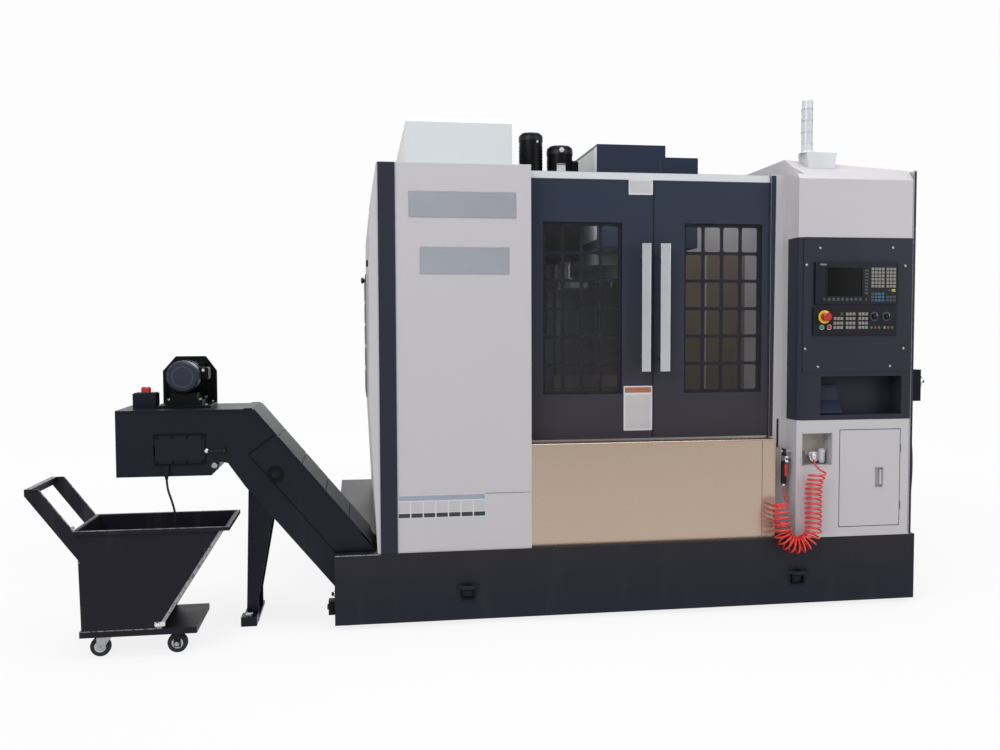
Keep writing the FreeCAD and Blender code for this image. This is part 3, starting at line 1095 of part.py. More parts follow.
def wheels():
    half = "roller_width/2"
    rollers = []
    for name in ("front", "rear"):
        place = f"caster_{name}"
        line = [(depth(f"{place}-{half}"), "0"), (depth(f"{place}-{half}"), "roller_radius-4"),
                (depth(f"{place}-{half}+4"), "roller_radius"), (depth(f"{place}+{half}-4"), "roller_radius"),
                (depth(f"{place}+{half}"), "roller_radius-4"), (depth(f"{place}+{half}"), "0")]
        rollers.append(turned(f"axle_roller_{name}", "y", ("axle_x", "roller_radius"), line))
        hub = "pin_radius+loose"
        ring_line = [(a, hub if r == "0" else r) for a, r in line]
        node(f"caster_wheel_{name}", turned(f"caster_roller_{name}", "y",
                                            ("caster_x", "roller_radius"), ring_line))
        top = "chassis_low-slip"
        cheeks = [box(f"fork_top_{name}", ("caster_x-12", "caster_x+caster_trail+fork_plate"),
                      (depth(f"{place}-{half}-fork_gap-fork_skin"),
                       depth(f"{place}+{half}+fork_gap+fork_skin")), (f"{top}-fork_skin", top))]
        line = [("caster_x-9", "roller_radius-9"), ("caster_x+9", "roller_radius-9"),
                ("caster_x+caster_trail+fork_plate", f"{top}-fork_skin"), ("caster_x-12", f"{top}-fork_skin")]
        for side, low in (("in", f"{place}-{half}-fork_gap-fork_skin"), ("out", f"{place}+{half}+fork_gap")):
            cheeks.append(prism(f"fork_{side}_{name}", "XZ", line, (depth(low), depth(f"{low}+fork_skin"))))
        cheeks.append(cylinder(f"pin_{name}", "y", ("caster_x", "roller_radius"),
                               (depth(f"{place}-{half}-fork_gap-fork_skin"),
                                depth(f"{place}+{half}+fork_gap+fork_skin")), "pin_radius"))
        node(f"caster_fork_{name}", fuse(f"fork_{name}", cheeks))
    reach = "roller_width/2+fork_gap+fork_skin+4"
    rollers.append(cylinder("axle", "y", ("axle_x", "roller_radius"),
                            (depth(f"caster_front-({reach})"), depth(f"caster_rear+{reach}")),
                            "axle_radius"))
    node("cart_wheelset", fuse("wheelset", rollers))


# ---- Air gun, its coiled hose, and the hanging cables ---------------------------------------
sizes(gun_inlet=540, gun_stem=6, gun_grip_low=548, gun_grip_high=650, gun_grip_radius=12)
sizes(gun_head_high=684, gun_head_half=11, gun_head_front=30, gun_spout=34, spout_radius=4)
sizes(trigger_low=590, trigger_high=642, trigger_gap=4, trigger_thick=6, trigger_half=5)
sizes(hose_radius=4, coil_radius=34.5, coil_turns=31, coil_top=664, bend_height=363)
sizes(coil_left_x=645, coil_left_y=-12, coil_end=485, hose_straight=8, bend_density=0.85)
sizes(hose_sides=4, ramp_share=0.08, samples_per_turn=2)


def air_gun():
    x, y = "gun_x", depth("gun_y")
    grip = turned("gun_grip", "z", (x, y),
                  [("gun_inlet", "0"), ("gun_inlet", "gun_stem"), ("gun_grip_low", "gun_stem"),
                   ("gun_grip_low+6", "gun_grip_radius"), ("gun_grip_high", "gun_grip_radius-1"),
                   ("gun_grip_high", "0")])
    head = [(f"{y}-gun_head_front", "gun_grip_high-4"), (f"{y}+gun_head_half", "gun_grip_high-4"),
            (f"{y}+gun_head_half", "hook_height+12"), (f"{y}-gun_head_half", "hook_height+12"),
            (f"{y}-gun_head_half", "gun_head_high"), (f"{y}-gun_head_front", "gun_head_high-8")]
    block = prism("gun_head", "YZ", head, (f"{x}-gun_head_half/2", f"{x}+gun_head_half/2"))
    spout = cylinder("gun_spout_tube", "y", (x, "(gun_grip_high+gun_head_high)/2"),
                     (f"{y}-gun_head_front-gun_spout", f"{y}-gun_head_front+1"), "spout_radius")
    eye = cylinder("gun_eye", "x", (y, "hook_height+hook_radius+slip-eye_radius"),
                   (f"{x}-gun_head_half", f"{x}+gun_head_half"), "eye_radius")
    node("air_gun", cut("gun", fuse("gun_whole", [grip, block, spout]), [eye]))
    front = f"{y}-gun_grip_radius-trigger_gap"
    lever = [(f"{front}-trigger_thick", "trigger_low"), (front, "trigger_low+4"),
             (front, "trigger_high"), (f"{front}-trigger_thick+3", "gun_grip_high-4-slip"),
             (f"{front}-trigger_thick-3", "gun_grip_high-4-slip"),
             (f"{front}-trigger_thick-2", "trigger_low+24")]
    node("gun_trigger", prism("trigger", "YZ", lever, (f"{x}-trigger_half", f"{x}+trigger_half")))


def smooth(share):
    share = min(max(share, 0.0), 1.0)
    return share * share * (3 - 2 * share)


def coil_centre(way):
    """The coil's own axis: down the right leg, round a half circle, up the left leg."""
    x_right, x_left = value("hose_x"), value("coil_left_x")
    y_out, y_in = value(depth("hose_y")), value(depth("coil_left_y"))
    bend, radius = value("bend_height"), (x_right - x_left) / 2
    down = value("coil_top") - bend
    arc = math.pi * radius
    if way < down:
        return Vector(x_right, y_out, value("coil_top") - way)
    if way < down + arc:
        turn = (way - down) / radius
        return Vector(x_right - radius + radius * math.cos(turn), y_out, bend - radius * math.sin(turn))
    height = bend + way - down - arc
    share = smooth((height - bend) / (value("coil_end") - bend))
    return Vector(x_left, y_out + (y_in - y_out) * share, height)


def coil_points():
    """Points and tangents of the wound tube, from the fitting to the gun."""
    radius = (value("hose_x") - value("coil_left_x")) / 2
    down = value("coil_top") - value("bend_height")
    arc = math.pi * radius
    total = down + arc + value("coil_end") - value("bend_height")
    steps = 4000
    turns, weight = [0.0], value("bend_density")
    for i in range(steps):
        way = (i + 0.5) * total / steps
        inside = smooth((way - down + 25) / 50) * smooth((down + arc + 25 - way) / 50)
        turns.append(turns[-1] + 1 - (1 - weight) * inside)
    scale = value("coil_turns") * 2 * math.pi / turns[-1]

    def spot(angle):
        low, high = 0, steps
        while high - low > 1:
            middle = (low + high) // 2
            low, high = (middle, high) if turns[middle] * scale <= angle else (low, middle)
        part = (angle / scale - turns[low]) / (turns[high] - turns[low])
        way = (low + part) * total / steps
        centre = coil_centre(way)
        ahead = coil_centre(min(way + 0.5, total)) - coil_centre(max(way - 0.5, 0))
        ahead.normalize()
        side = Vector(0, 1, 0) - ahead * ahead.y
        side.normalize()
        third = ahead.cross(side)
        ramp = value("ramp_share")
        share = smooth(way / total / ramp) * smooth((1 - way / total) / ramp)
        reach = value("coil_radius") * share
        return centre + side * (reach * math.cos(angle)) + third * (reach * math.sin(angle))

    count = SIZES["coil_turns"] * SIZES["samples_per_turn"]
    whole = SIZES["coil_turns"] * 2 * math.pi
    points, ways = [], []
    for i in range(count + 1):
        angle = whole * i / count
        tiny = whole / count / 200
        ahead = spot(min(angle + tiny, whole)) - spot(max(angle - tiny, 0))
        ahead.normalize()
        points.append(spot(angle))
        ways.append(ahead)
    ways[0], ways[-1] = Vector(0, 0, -1), Vector(0, 0, 1)
    return points, ways


def biarc(start, way, end, far_way):
    """Two arcs that leave start along way and reach end along far_way."""
    gap = end - start
    both = way + far_way
    a = 2 * (way.dot(far_way) - 1)
    b = gap.dot(both)
    c = gap.dot(gap)
    reach = c / (2 * b) if abs(a) < 1e-9 else (b - math.sqrt(b * b - a * c)) / a
    first, second = start + way * reach, end - far_way * reach
    joint = (first + second) * 0.5
    edges = []
    for low, apex, high in ((start, first, joint), (joint, second, end)):
        middle = (low + high) * 0.5
        ratio = (high - low).Length / 2 / reach
        edges.append(Part.Arc(low, middle + (apex - middle) * (ratio / (1 + ratio)), high).toShape())
    return edges


def swept(wire, start, way, radius):
    """An unbroken round tube along a wire."""
    circle = Part.Wire(Part.Circle(start, way, radius).toShape())
    return wire.makePipeShell([circle], True, False)


def faceted(wire, start, radius, sides):
    """An unbroken tube of flat-sided section, for a wound hose; it starts along -Z."""
    turn = 2 * math.pi / sides
    corners = [start + Vector(radius * math.cos(turn * i), radius * math.sin(turn * i), 0)
               for i in range(sides)]
    return wire.makePipeShell([Part.makePolygon(corners + corners[:1])], True, False)


def hose_coil():
    points, ways = coil_points()
    nozzle = Vector(value("hose_x"), value(depth("hose_y")), value("nozzle_low"))
    inlet = Vector(value("gun_x"), value(depth("gun_y")), value("gun_inlet"))
    edges = [Part.makeLine(nozzle, points[0])]
    for i in range(len(points) - 1):
        edges += biarc(points[i], ways[i], points[i + 1], ways[i + 1])
    below = inlet - Vector(0, 0, value("hose_straight"))
    edges += biarc(points[-1], ways[-1], below, Vector(0, 0, 1))
    edges.append(Part.makeLine(below, inlet))
    wire = Part.Wire(edges)
    tube = faceted(wire, nozzle, value("hose_radius"), SIZES["hose_sides"])
    solid = doc.addObject("Part::Feature", "hose")
    solid.Shape = tube
    solid.Placement = FreeCAD.Placement()
    node("hose_coil", solid)
    dots = []
    for edge in wire.OrderedEdges:
        dots += edge.discretize(Distance=3)[1:]
    half_turn = int(math.pi * value("coil_radius") / 3)
    least = min(dot.distanceToPoint(other) for i, dot in enumerate(dots)
                for other in dots[i + half_turn:i + half_turn * 12])
    sides = SIZES["hose_sides"]
    ideal = sides / 2 * math.sin(2 * math.pi / sides) * value("hose_radius") ** 2 * wire.Length
    print(f"hose_coil: length {wire.Length:.0f}, least gap {least - 2 * value('hose_radius'):.2f},"
          f" volume {tube.Volume:.0f} of {ideal:.0f}")


def route(points, label):
    """Straight runs joined by tangent arcs, each as large as its two runs allow."""
    edges, at, radii = [], points[0], []
    for before, corner, after in zip(points, points[1:], points[2:]):
        back, ahead = before - corner, after - corner
        run = 0.45 * min(back.Length, ahead.Length)
        back.normalize()
        ahead.normalize()
        half_turn = (math.pi - math.acos(back.dot(ahead))) / 2
        radius = run / math.tan(half_turn)
        inward = (back + ahead).normalize()
        low, high = corner + back * run, corner + ahead * run
        middle = corner + inward * (radius / math.cos(half_turn) - radius)
        edges += [Part.makeLine(at, low), Part.Arc(low, middle, high).toShape()]
        at = high
        radii.append(radius)
    edges.append(Part.makeLine(at, points[-1]))
    wire = Part.Wire(edges)
    listed = ", ".join(f"{r:.0f}" for r in radii)
    print(f"{label}: length {wire.Length:.0f}, radii {listed}")
    return wire


def cable(label, spots, radius):
    points = [Vector(value(x), value(y), value(z)) for x, y, z in spots]
    wire = route(points, label)
    solid = doc.addObject("Part::Feature", label + "_tube")
    solid.Shape = swept(wire, points[0], points[1] - points[0], value(radius))
    solid.Placement = FreeCAD.Placement()
    ideal = math.pi * value(radius) ** 2 * wire.Length
    print(f"{label}: volume {solid.Shape.Volume:.0f} of {ideal:.0f}")
    node(label, solid)


def cables():
    y = depth("cable_y")
    top, foot = "unit_low-gland_length", "base_top+lower_gland"
    cable("handwheel_cable",
          [("cable_x", y, top), ("cable_x", y, f"{top}-78"), ("cable_x+8", y, f"{top}-160"),
           ("cable_x+15", y, f"{top}-252"), ("cable_x+14", y, f"{top}-342"),
           ("cable_x+8", y, f"{foot}+150"), ("cable_x", y, f"{foot}+70"), ("cable_x", y, foot)],
          "cable_radius")
    x, y = "conv_cable_x", depth("conv_front-clip_out/2")
    cable("conveyor_cable",
          [(x, y, "clip_low"), (x, y, "clip_low-52"), (f"{x}+18", y, "clip_low-104"),
           (f"{x}+32", y, "clip_low-160"), (f"{x}+30", y, "clip_low-222"),
           (f"{x}+16", y, "clip_low-276"), (f"{x}-12", y, "clip_low-322"),
           (f"{x}-52", y, "clip_low-350")], "conv_cable_radius")


BUILD = [
    base_tray, leveling_pads, bed_casting, column_casting, saddle, work_table, spindle_head,
    head_cover, spindle, tool_magazine, changer_unit, change_arm, left_panels, right_and_rear,
    roof_box, front_apron, door_rails,
]
for make in BUILD:
    make()
door("left", "door_left_edge", "door_meet-door_gap/2", "pane_left_a", "pane_left_b")
door("right", "door_meet+door_gap/2", "door_right_edge", "pane_right_a", "pane_right_b")
handle("left")
handle("right")
operator_cabinet()
cabinet_door()
console_box()
signal_tower(console_hood())
operator_face()
handwheel_parts()
air_gun()
conveyor_body()
conveyor_belt()
conveyor_leg()
conveyor_motor()
cart_tub()
cart_frame()
wheels()
hose_coil()
cables()


def finish():
    """Checks every object and sub-part, then writes one file for each sub-part."""
    doc.recompute()
    for item in doc.Objects:
        if "Invalid" in item.State or "Error" in item.State:
            raise RuntimeError(f"{item.Name} ({item.Label}) failed: {item.State}")
    for label, item in NODES.items():
        if item.Shape.isNull() or not item.Shape.isValid() or not item.Shape.Solids:
            raise RuntimeError(f"{label} has no valid solid")
    for label, item in NODES.items():
        item.Shape.exportStep(f"parts/{label}.step")
        count = len(item.Shape.Solids)
        print(f"{label}: {count} solid(s), volume {item.Shape.Volume / 1000:.0f} cm3")


finish()
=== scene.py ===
# %% [markdown]
# A machining center is a milling machine in a sheet metal cabin. This lesson dresses the
# finished CAD model: it gets a camera, soft light, finishes made from nodes, and small
# pieces from screws to key caps. The CAD stays as it is, so all of it is placed from there.

# %% Loading the frame
import math

import bpy
import numpy as np
from mathutils import Matrix, Vector


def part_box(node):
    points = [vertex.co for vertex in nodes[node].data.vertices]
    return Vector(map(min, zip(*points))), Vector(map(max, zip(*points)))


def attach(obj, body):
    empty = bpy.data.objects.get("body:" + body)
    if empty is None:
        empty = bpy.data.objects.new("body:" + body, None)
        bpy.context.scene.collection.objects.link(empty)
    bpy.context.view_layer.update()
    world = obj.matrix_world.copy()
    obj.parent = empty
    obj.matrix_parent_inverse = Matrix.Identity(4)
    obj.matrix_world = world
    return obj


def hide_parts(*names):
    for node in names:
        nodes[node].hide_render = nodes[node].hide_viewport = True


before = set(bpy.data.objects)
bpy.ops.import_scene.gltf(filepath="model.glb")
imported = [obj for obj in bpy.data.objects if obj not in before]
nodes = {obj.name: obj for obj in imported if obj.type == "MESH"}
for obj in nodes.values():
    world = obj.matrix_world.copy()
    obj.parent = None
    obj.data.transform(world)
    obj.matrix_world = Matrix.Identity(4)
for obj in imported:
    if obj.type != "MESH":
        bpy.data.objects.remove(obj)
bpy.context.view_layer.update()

# %% [markdown]
# The camera stands well to the left of the middle and aims a little to the right, so the
# left end shows. The turn, dip and lens below bring the edges of base, panels and console
# onto the photograph.

# %% Camera
scene = bpy.context.scene


def add(name, data):
    """Puts a new object with this data into the scene."""
    made = bpy.data.objects.new(name, data)
    scene.collection.objects.link(made)
    return made


yaw, dip, roll = 0.1497, 0.049, -0.0036
lens = bpy.data.cameras.new("photo_lens")
lens.lens, lens.sensor_width = 34.0, 36.0
camera = add("photo_camera", lens)
camera.location = (-1.196, -4.9275, 1.2514)
camera.rotation_euler = (
    Matrix.Rotation(-yaw, 3, "Z") @ Matrix.Rotation(math.pi / 2 - dip, 3, "X")
    @ Matrix.Rotation(roll, 3, "Z")).to_euler()
scene.camera = camera
scene.view_settings.view_transform = "Standard"

# %% [markdown]
# Shader arithmetic is easier to read as Python. A Signal wraps the output of a node, and
# adding or multiplying Signals adds the Math nodes. Finish starts a material and has the
# one method that adds any other node.


# %% Signals and finishes
class Signal:
    """One output in a material; arithmetic on it adds Math nodes."""

    def __init__(self, finish, socket):
        self.finish, self.socket = finish, socket

    def math(self, operation, *others):
        """A Math node on this Signal and the others."""
        values = dict(enumerate((self,) + others))
        return self.finish.node("Math", {"operation": operation}, values)

    def __add__(self, other):
        return self.math("ADD", other)

    def __mul__(self, other):
        return self.math("MULTIPLY", other)

    def __rsub__(self, other):
        return self.math("MULTIPLY", -1.0).math("ADD", other)

    __radd__, __rmul__ = __add__, __mul__

    def between(self, low, high):
        """0 below low, 1 above high, and a smooth step in between."""
        return self.finish.node("MapRange", {"interpolation_type": "SMOOTHSTEP"},
                                {"Value": self, "From Min": low, "From Max": high})


class Finish:
    """A new material with one Principled shader."""

    def __init__(self, name, **values):
        self.material = bpy.data.materials.new(name)
        self.material.use_nodes = True
        self.tree = self.material.node_tree
        self.shader = self.tree.nodes["Principled BSDF"]
        self.set(**values)

    def node(self, kind, settings=None, values=None, output=0):
        """Adds a node: its settings first, then its inputs."""
        new = self.tree.nodes.new("ShaderNode" + kind)
        for key, value in (settings or {}).items():
            setattr(new, key, value)
        for key, value in (values or {}).items():
            self.join(new.inputs[key], value)
        return Signal(self, new.outputs[output])

    def join(self, socket, value):
        """Feeds an input from a Signal, or gives it a plain value."""
        if isinstance(value, Signal):
            self.tree.links.new(value.socket, socket)
        else:
            socket.default_value = value

    def set(self, **values):
        """Sets the shader's inputs; an underscore in a name stands for a space."""
        for key, value in values.items():
            self.join(self.shader.inputs[key.replace("_", " ")], value)
        return self

    def place(self):
        """The object's own coordinates."""
        return self.node("TexCoord", output=3)

    def noise(self, scale, detail=3.0, stretch=(1, 1, 1), rough=0.5):
        """Noise on the object's own coordinates, in features per metre."""
        spot = self.node("Mapping", None, {"Vector": self.place(), "Scale": stretch})
        return self.node("TexNoise", None, {"Vector": spot, "Scale": scale, "Detail": detail,
                                            "Roughness": rough})

    def mix(self, share, first, second):
        """A colour between two colours; a colour Mix has them at its inputs 6 and 7."""
        return self.node("Mix", {"data_type": "RGBA"}, {0: share, 6: first, 7: second}, output=2)

    def bump(self, height, distance, strength=1.0):
        """A normal that leans with the slope of height."""
        return self.node("Bump", None, {"Height": height, "Distance": distance,
                                        "Strength": strength})


def rgb(red, green, blue):
    """A screen colour in 0 to 255 as the linear colour that shaders take."""
    line = [((v / 255 + 0.055) / 1.055) ** 2.4 if v > 10 else v / 3294.6
            for v in (red, green, blue)]
    return (*line, 1.0)


def shade(colour, factor):
    """A lighter or darker neighbour of a linear colour."""
    return (*[min(c * factor, 1.0) for c in colour[:3]], 1.0)


print("a middle grey is", rgb(128, 128, 128))


# %% [markdown]
# The cabin is powder coated sheet. Powder coat is never a flat colour: it has a fine orange
# peel, cloudy gloss, and dust that settles low down. One maker gives all the paints, each
# with its own colour, peel and gloss.


# %% Paint
def paint(name, colour, gloss=0.4, peel=1.0, cloud=0.06, dust=0.10, shine=0.16, painted_light_foot=None,
          painted_light_span=(0.7, 1.9)):
    """Peel is the bump of fine noise; cloud and dust are tints; the foot colour is painted light
    and shade by height.
    """
    made = Finish(name, Specular_IOR_Level=shine)
    cloudy = made.noise(2.3, 4.0, rough=0.6)
    fine = made.noise(620.0, 2.0)
    streak = made.noise(7.0, 5.0, stretch=(1, 1, 0.12), rough=0.65).between(0.50, 0.78)
    height = made.node("SeparateXYZ", None, {0: made.place()}, output=2)
    # Over the span the colour grades to the foot colour: painted light and shade by height.
    painted_light_tone = colour if painted_light_foot is None else made.mix(height.between(*painted_light_span), painted_light_foot, colour)
    body = made.mix(cloudy * (cloud * 4), painted_light_tone, shade(colour, 0.62))
    low = (1.0 - height.between(0.0, 0.9)) * streak * dust
    dusty = made.mix(low, body, rgb(152, 146, 138))
    made.set(Base_Color=dusty, Roughness=cloudy * 0.16 + fine * 0.08 + (gloss - 0.10),
             Normal=made.bump(fine, 0.0002 * peel, 0.55))
    return made.material


white_paint = paint("white_powder_coat", rgb(182, 180, 184), 0.42, cloud=0.02, dust=0.1, shine=0.4)
# A lighter copy of the white paint: painted light on the roof box and the rail fascia.
lit_white_paint = paint("pale_lit_white_paint", rgb(196, 200, 203), 0.4, cloud=0.02, dust=0.0, shine=0.4)
dark_paint = paint("dark_powder_coat", rgb(41, 42, 54), 0.46, 1.3, cloud=0.06, dust=0.08)
head_paint = paint("head_cover_paint", rgb(40, 47, 66), 0.44, 1.2, cloud=0.06, dust=0.0)
# The doors' warmer foot colour is painted light, graded by height.
door_paint = paint("door_powder_coat", rgb(41, 49, 65), 0.44, 1.2, cloud=0.05, dust=0.06,
    painted_light_foot=rgb(55, 51, 58))
# The base's darker foot colour is painted shade towards the floor.
base_paint = paint("base_enamel", rgb(37, 36, 43), 0.38, 0.8, cloud=0.1, dust=0.03, shine=0.16,
    painted_light_foot=rgb(28, 32, 46), painted_light_span=(0.06, 0.3))
conveyor_paint = paint("conveyor_enamel", rgb(19, 21, 33), 0.34, 0.8, cloud=0.1, dust=0.05,
    shine=0.2)
cart_paint = paint("cart_paint", rgb(25, 24, 34), 0.4, 1.0, cloud=0.12, dust=0.22)
motor_paint = paint("motor_paint", rgb(11, 12, 15), 0.36, 1.0, cloud=0.1, dust=0.04, shine=0.12)
casting_paint = paint("casting_paint", rgb(150, 155, 158), 0.45, 3.0, cloud=0.1, dust=0.2,
    shine=0.4)
pale_metal = paint("pale_metal_paint", rgb(184, 188, 194), 0.35, 0.7, cloud=0.06, shine=0.5)
print("paints made")

# %% [markdown]
# Bare metal shows the way it was worked. Brushed sheet has long fine lines along one axis,
# ground steel short ones, and zinc plating a cloudy bloom. Stretching noise by a different
# amount on each axis draws the lines; they change the roughness and a very low bump.


# %% Metals and plastics
def metal(name, colour, rough, lines=(1, 1, 1), scale=900.0, cloud=0.1, depth=0.00006,
          streak=0.16):
    """Worked metal: grain stretched along the lines of the work, under a cloudy gloss."""
    made = Finish(name, Metallic=1.0)
    grain = made.noise(scale, 3.0, stretch=lines, rough=0.7)
    cloudy = made.noise(3.1, 5.0, rough=0.6)
    tint = made.mix(cloudy, shade(colour, 1 - cloud), shade(colour, 1 + cloud))
    made.set(Base_Color=tint, Roughness=grain * streak + cloudy * 0.10 + (rough - 0.13),
             Normal=made.bump(grain, depth, 0.5))
    return made.material


def plastic(name, colour, rough=0.45, grain=1.0, coat=0.0, scale=1500.0, shine=0.3):
    """Moulded plastic with a fine grain; coat adds a clear layer over it."""
    made = Finish(name, Coat_Weight=coat, Coat_Roughness=0.08, Specular_IOR_Level=shine)
    fine = made.noise(scale, 2.0)
    cloudy = made.noise(14.0, 3.0)
    tint = made.mix(cloudy, shade(colour, 0.93), shade(colour, 1.07))
    made.set(Base_Color=tint, Roughness=cloudy * 0.12 + (rough - 0.06),
             Normal=made.bump(fine, 0.00012 * grain, 0.5))
    return made.material


# The warm beige tint of the apron's stainless steel is a painted reflection of a pinkish floor.
apron_steel_painted_reflection = metal("brushed_steel_painted_reflection", rgb(188, 168, 151), 0.33, (0.01, 1, 1), 2600.0, 0.05,
    0.000004, 0.05)
ground_steel = metal("ground_steel", rgb(176, 178, 180), 0.32, (0.05, 1, 1), 700.0)
silver = metal("satin_aluminium", rgb(206, 209, 214), 0.34, (1, 1, 0.02), 1500.0, 0.04)
zinc = metal("zinc_plate", rgb(168, 170, 172), 0.38, cloud=0.2, scale=300.0)
chrome = metal("bright_chrome", rgb(214, 216, 220), 0.16, scale=500.0, cloud=0.04)
black_plastic = plastic("black_plastic", rgb(20, 21, 24), 0.42)
housing_plastic = plastic("display_plastic", rgb(21, 23, 31), 0.36, 0.6, shine=0.16)
key_foil = plastic("key_foil", rgb(22, 22, 28), 0.42, 0.5, shine=0.16)
roller_rubber = plastic("hard_rubber", rgb(30, 30, 31), 0.62, 2.0)
red_gloss = plastic("red_gloss", rgb(176, 22, 18), 0.22, 0.2, 0.6)
green_gloss = plastic("green_gloss", rgb(24, 132, 62), 0.22, 0.2, 0.6)
yellow_gloss = plastic("yellow_gloss", rgb(222, 176, 24), 0.3, 0.3, 0.3)
lamp_white = plastic("milky_lamp", rgb(200, 203, 206), 0.22, 0.2, 0.4)
cable_jacket = plastic("cable_jacket", rgb(22, 22, 24), 0.5, 1.5)
hose_red = plastic("hose_red", rgb(214, 38, 28), 0.2, 0.1, 0.7)


def tinted_pane():
    """Safety glass lets most light through; a low alpha keeps its grey tint and its gloss."""
    made = Finish("tinted_pane", Base_Color=rgb(40, 39, 42), Roughness=0.05, Alpha=0.22,
                  Specular_IOR_Level=0.3, Coat_Weight=0.1)
    made.material.surface_render_method = "BLENDED"
    smear = made.noise(3.0, 5.0, stretch=(1, 1, 0.5), rough=0.7).between(0.42, 0.75)
    made.set(Roughness=smear * 0.10 + 0.04, Alpha=smear * 0.06 + 0.24)
    return made.material


pane_glass = tinted_pane()
print("metals, plastics and glass made")


# %% [markdown]
# Every CAD node gets its finish by name. A node has one material slot, so a small part of a
# node with another colour, such as the conveyor's stop box, gets its colour from a thin new
# skin or from a piece of its own further down.

# %% Finishes of the CAD nodes
finishes = {
    white_paint: ["left_front_panel", "left_side_panel", "operator_cabinet",
                  "cabinet_door", "console_hood", "door_post", "rear_wall", "electrical_door",
                  "right_side_panel"],
    # the roof box takes the lighter copy, painted light
    lit_white_paint: ["roof_box"],
    dark_paint: ["left_corner_post", "console_box", "operator_plate"],
    head_paint: ["head_cover"],
    door_paint: ["door_left", "door_right"],
    base_paint: ["base_tray"],
    conveyor_paint: ["conveyor_body", "conveyor_leg"],
    cart_paint: ["cart_tub", "cart_frame"],
    motor_paint: ["changer_unit", "conveyor_motor", "handwheel_unit"],
    casting_paint: ["bed_casting", "column_casting", "saddle", "spindle_head"],
    ground_steel: ["work_table", "spindle", "change_arm", "door_rails", "conveyor_belt"],
    pale_metal: ["tool_magazine"],
    apron_steel_painted_reflection: ["front_apron"],
    silver: ["door_handle_left", "door_handle_right", "handwheel"],
    zinc: ["leveling_pads", "caster_fork_front", "caster_fork_rear"],
    pane_glass: ["door_glass_left", "door_glass_right"],
    housing_plastic: ["display_unit"],
    key_foil: ["key_panel"],
    black_plastic: ["feed_knob", "spindle_knob", "air_gun"],
    red_gloss: ["console_estop", "stop_button", "conveyor_estop", "gun_trigger"],
    green_gloss: ["start_button"],
    lamp_white: ["signal_tower"],
    roller_rubber: ["caster_wheel_front", "caster_wheel_rear", "cart_wheelset"],
    cable_jacket: ["handwheel_cable", "conveyor_cable"],
    hose_red: ["hose_coil"],
}
for finish, names in finishes.items():
    for name in names:
        mesh = nodes[name].data
        mesh.materials.clear()
        mesh.materials.append(finish)
dressed = {name for names in finishes.values() for name in names}
print("nodes without a finish:", sorted(set(nodes) - dressed))

# %% [markdown]
# The studio is a pale floor that runs up into a wall behind, four large lamps round it and a
# faint one in the cabin. The camera sees the floor and wall as white, while the lamps light
# the machine at a plain level. Rays that the metal or the glass throw see the same white.


# %% Studio
def seen_directly(made):
    """One where the camera, a mirror or a pane looks straight at a surface, else zero."""
    camera, glossy, through = (made.node("LightPath", output=i) for i in (0, 3, 6))
    return camera.math("MAXIMUM", glossy).math("MAXIMUM", through)


def studio_white():
    """White to the camera and to mirrors, yet near the machine it keeps some shadow."""
    made = Finish("studio_white", Base_Color=(0.78, 0.78, 0.78, 1.0), Roughness=0.9)
    glow = made.node("Emission", None, {"Color": (1, 1, 1, 1), "Strength": 1.0})
    far = made.node("VectorMath", {"operation": "LENGTH"}, {0: made.place()}, output=1)
    seen = seen_directly(made) * (far.between(2.2, 5.0) * 0.13 + 0.84)
    plain = Signal(made, made.shader.outputs[0])
    shader = made.node("MixShader", None, {0: seen, 1: plain, 2: glow})
    out = made.tree.nodes["Material Output"]
    made.tree.links.new(shader.socket, out.inputs["Surface"])
    return made.material


def carried(name, line, xs, finish):
    """A mesh of quads: a line of (y, z) points carried between two x places."""
    count = len(line)
    verts = np.concatenate([np.c_[np.full(count, x), line] for x in xs])
    i = np.arange(count - 1)
    faces = np.stack([i, i + count, i + count + 1, i + 1], 1)
    mesh = bpy.data.meshes.new(name)
    mesh.from_pydata(verts.tolist(), [], faces.tolist())
    mesh.materials.append(finish)
    return mesh


def curved_sweep():
    """A floor that bends up into a wall: a line, a quarter circle and a line, drawn wide."""
    turn = np.linspace(0, math.pi / 2, 16)
    reach, radius = 7.0, 2.5
    bend = np.stack([reach + radius * np.sin(turn), radius * (1 - np.cos(turn))], 1)
    line = np.concatenate([[[-12.0, -0.001]], bend, [[reach + radius, 9.0]]])
    mesh = carried("studio_sweep", line, (-16.0, 16.0), studio_white())
    mesh.polygons.foreach_set("use_smooth", [True] * (len(line) - 1))
    return mesh


sweep = add("studio_sweep", curved_sweep())
world = bpy.data.worlds.new("studio_world")
world.use_nodes = True
sky = world.node_tree.nodes["Background"]
sky.inputs["Color"].default_value = (1.0, 1.0, 1.0, 1.0)
sky_path = world.node_tree.nodes.new("ShaderNodeLightPath")
sky_step = world.node_tree.nodes.new("ShaderNodeMapRange")
sky_step.inputs["To Min"].default_value, sky_step.inputs["To Max"].default_value = 0.46, 1.0
world.node_tree.links.new(sky_path.outputs["Is Camera Ray"], sky_step.inputs["Value"])
world.node_tree.links.new(sky_step.outputs["Result"], sky.inputs["Strength"])
scene.world = world


def soft_lamp(name, place, target, size, watts):
    """A large rectangular lamp that faces a point."""
    light = bpy.data.lights.new(name, "AREA")
    light.shape, light.size, light.size_y, light.energy = "RECTANGLE", size[0], size[1], watts
    lamp = add(name, light)
    lamp.location = place
    aim = Vector(target) - Vector(place)
    lamp.rotation_euler = aim.to_track_quat("-Z", "Y").to_euler()


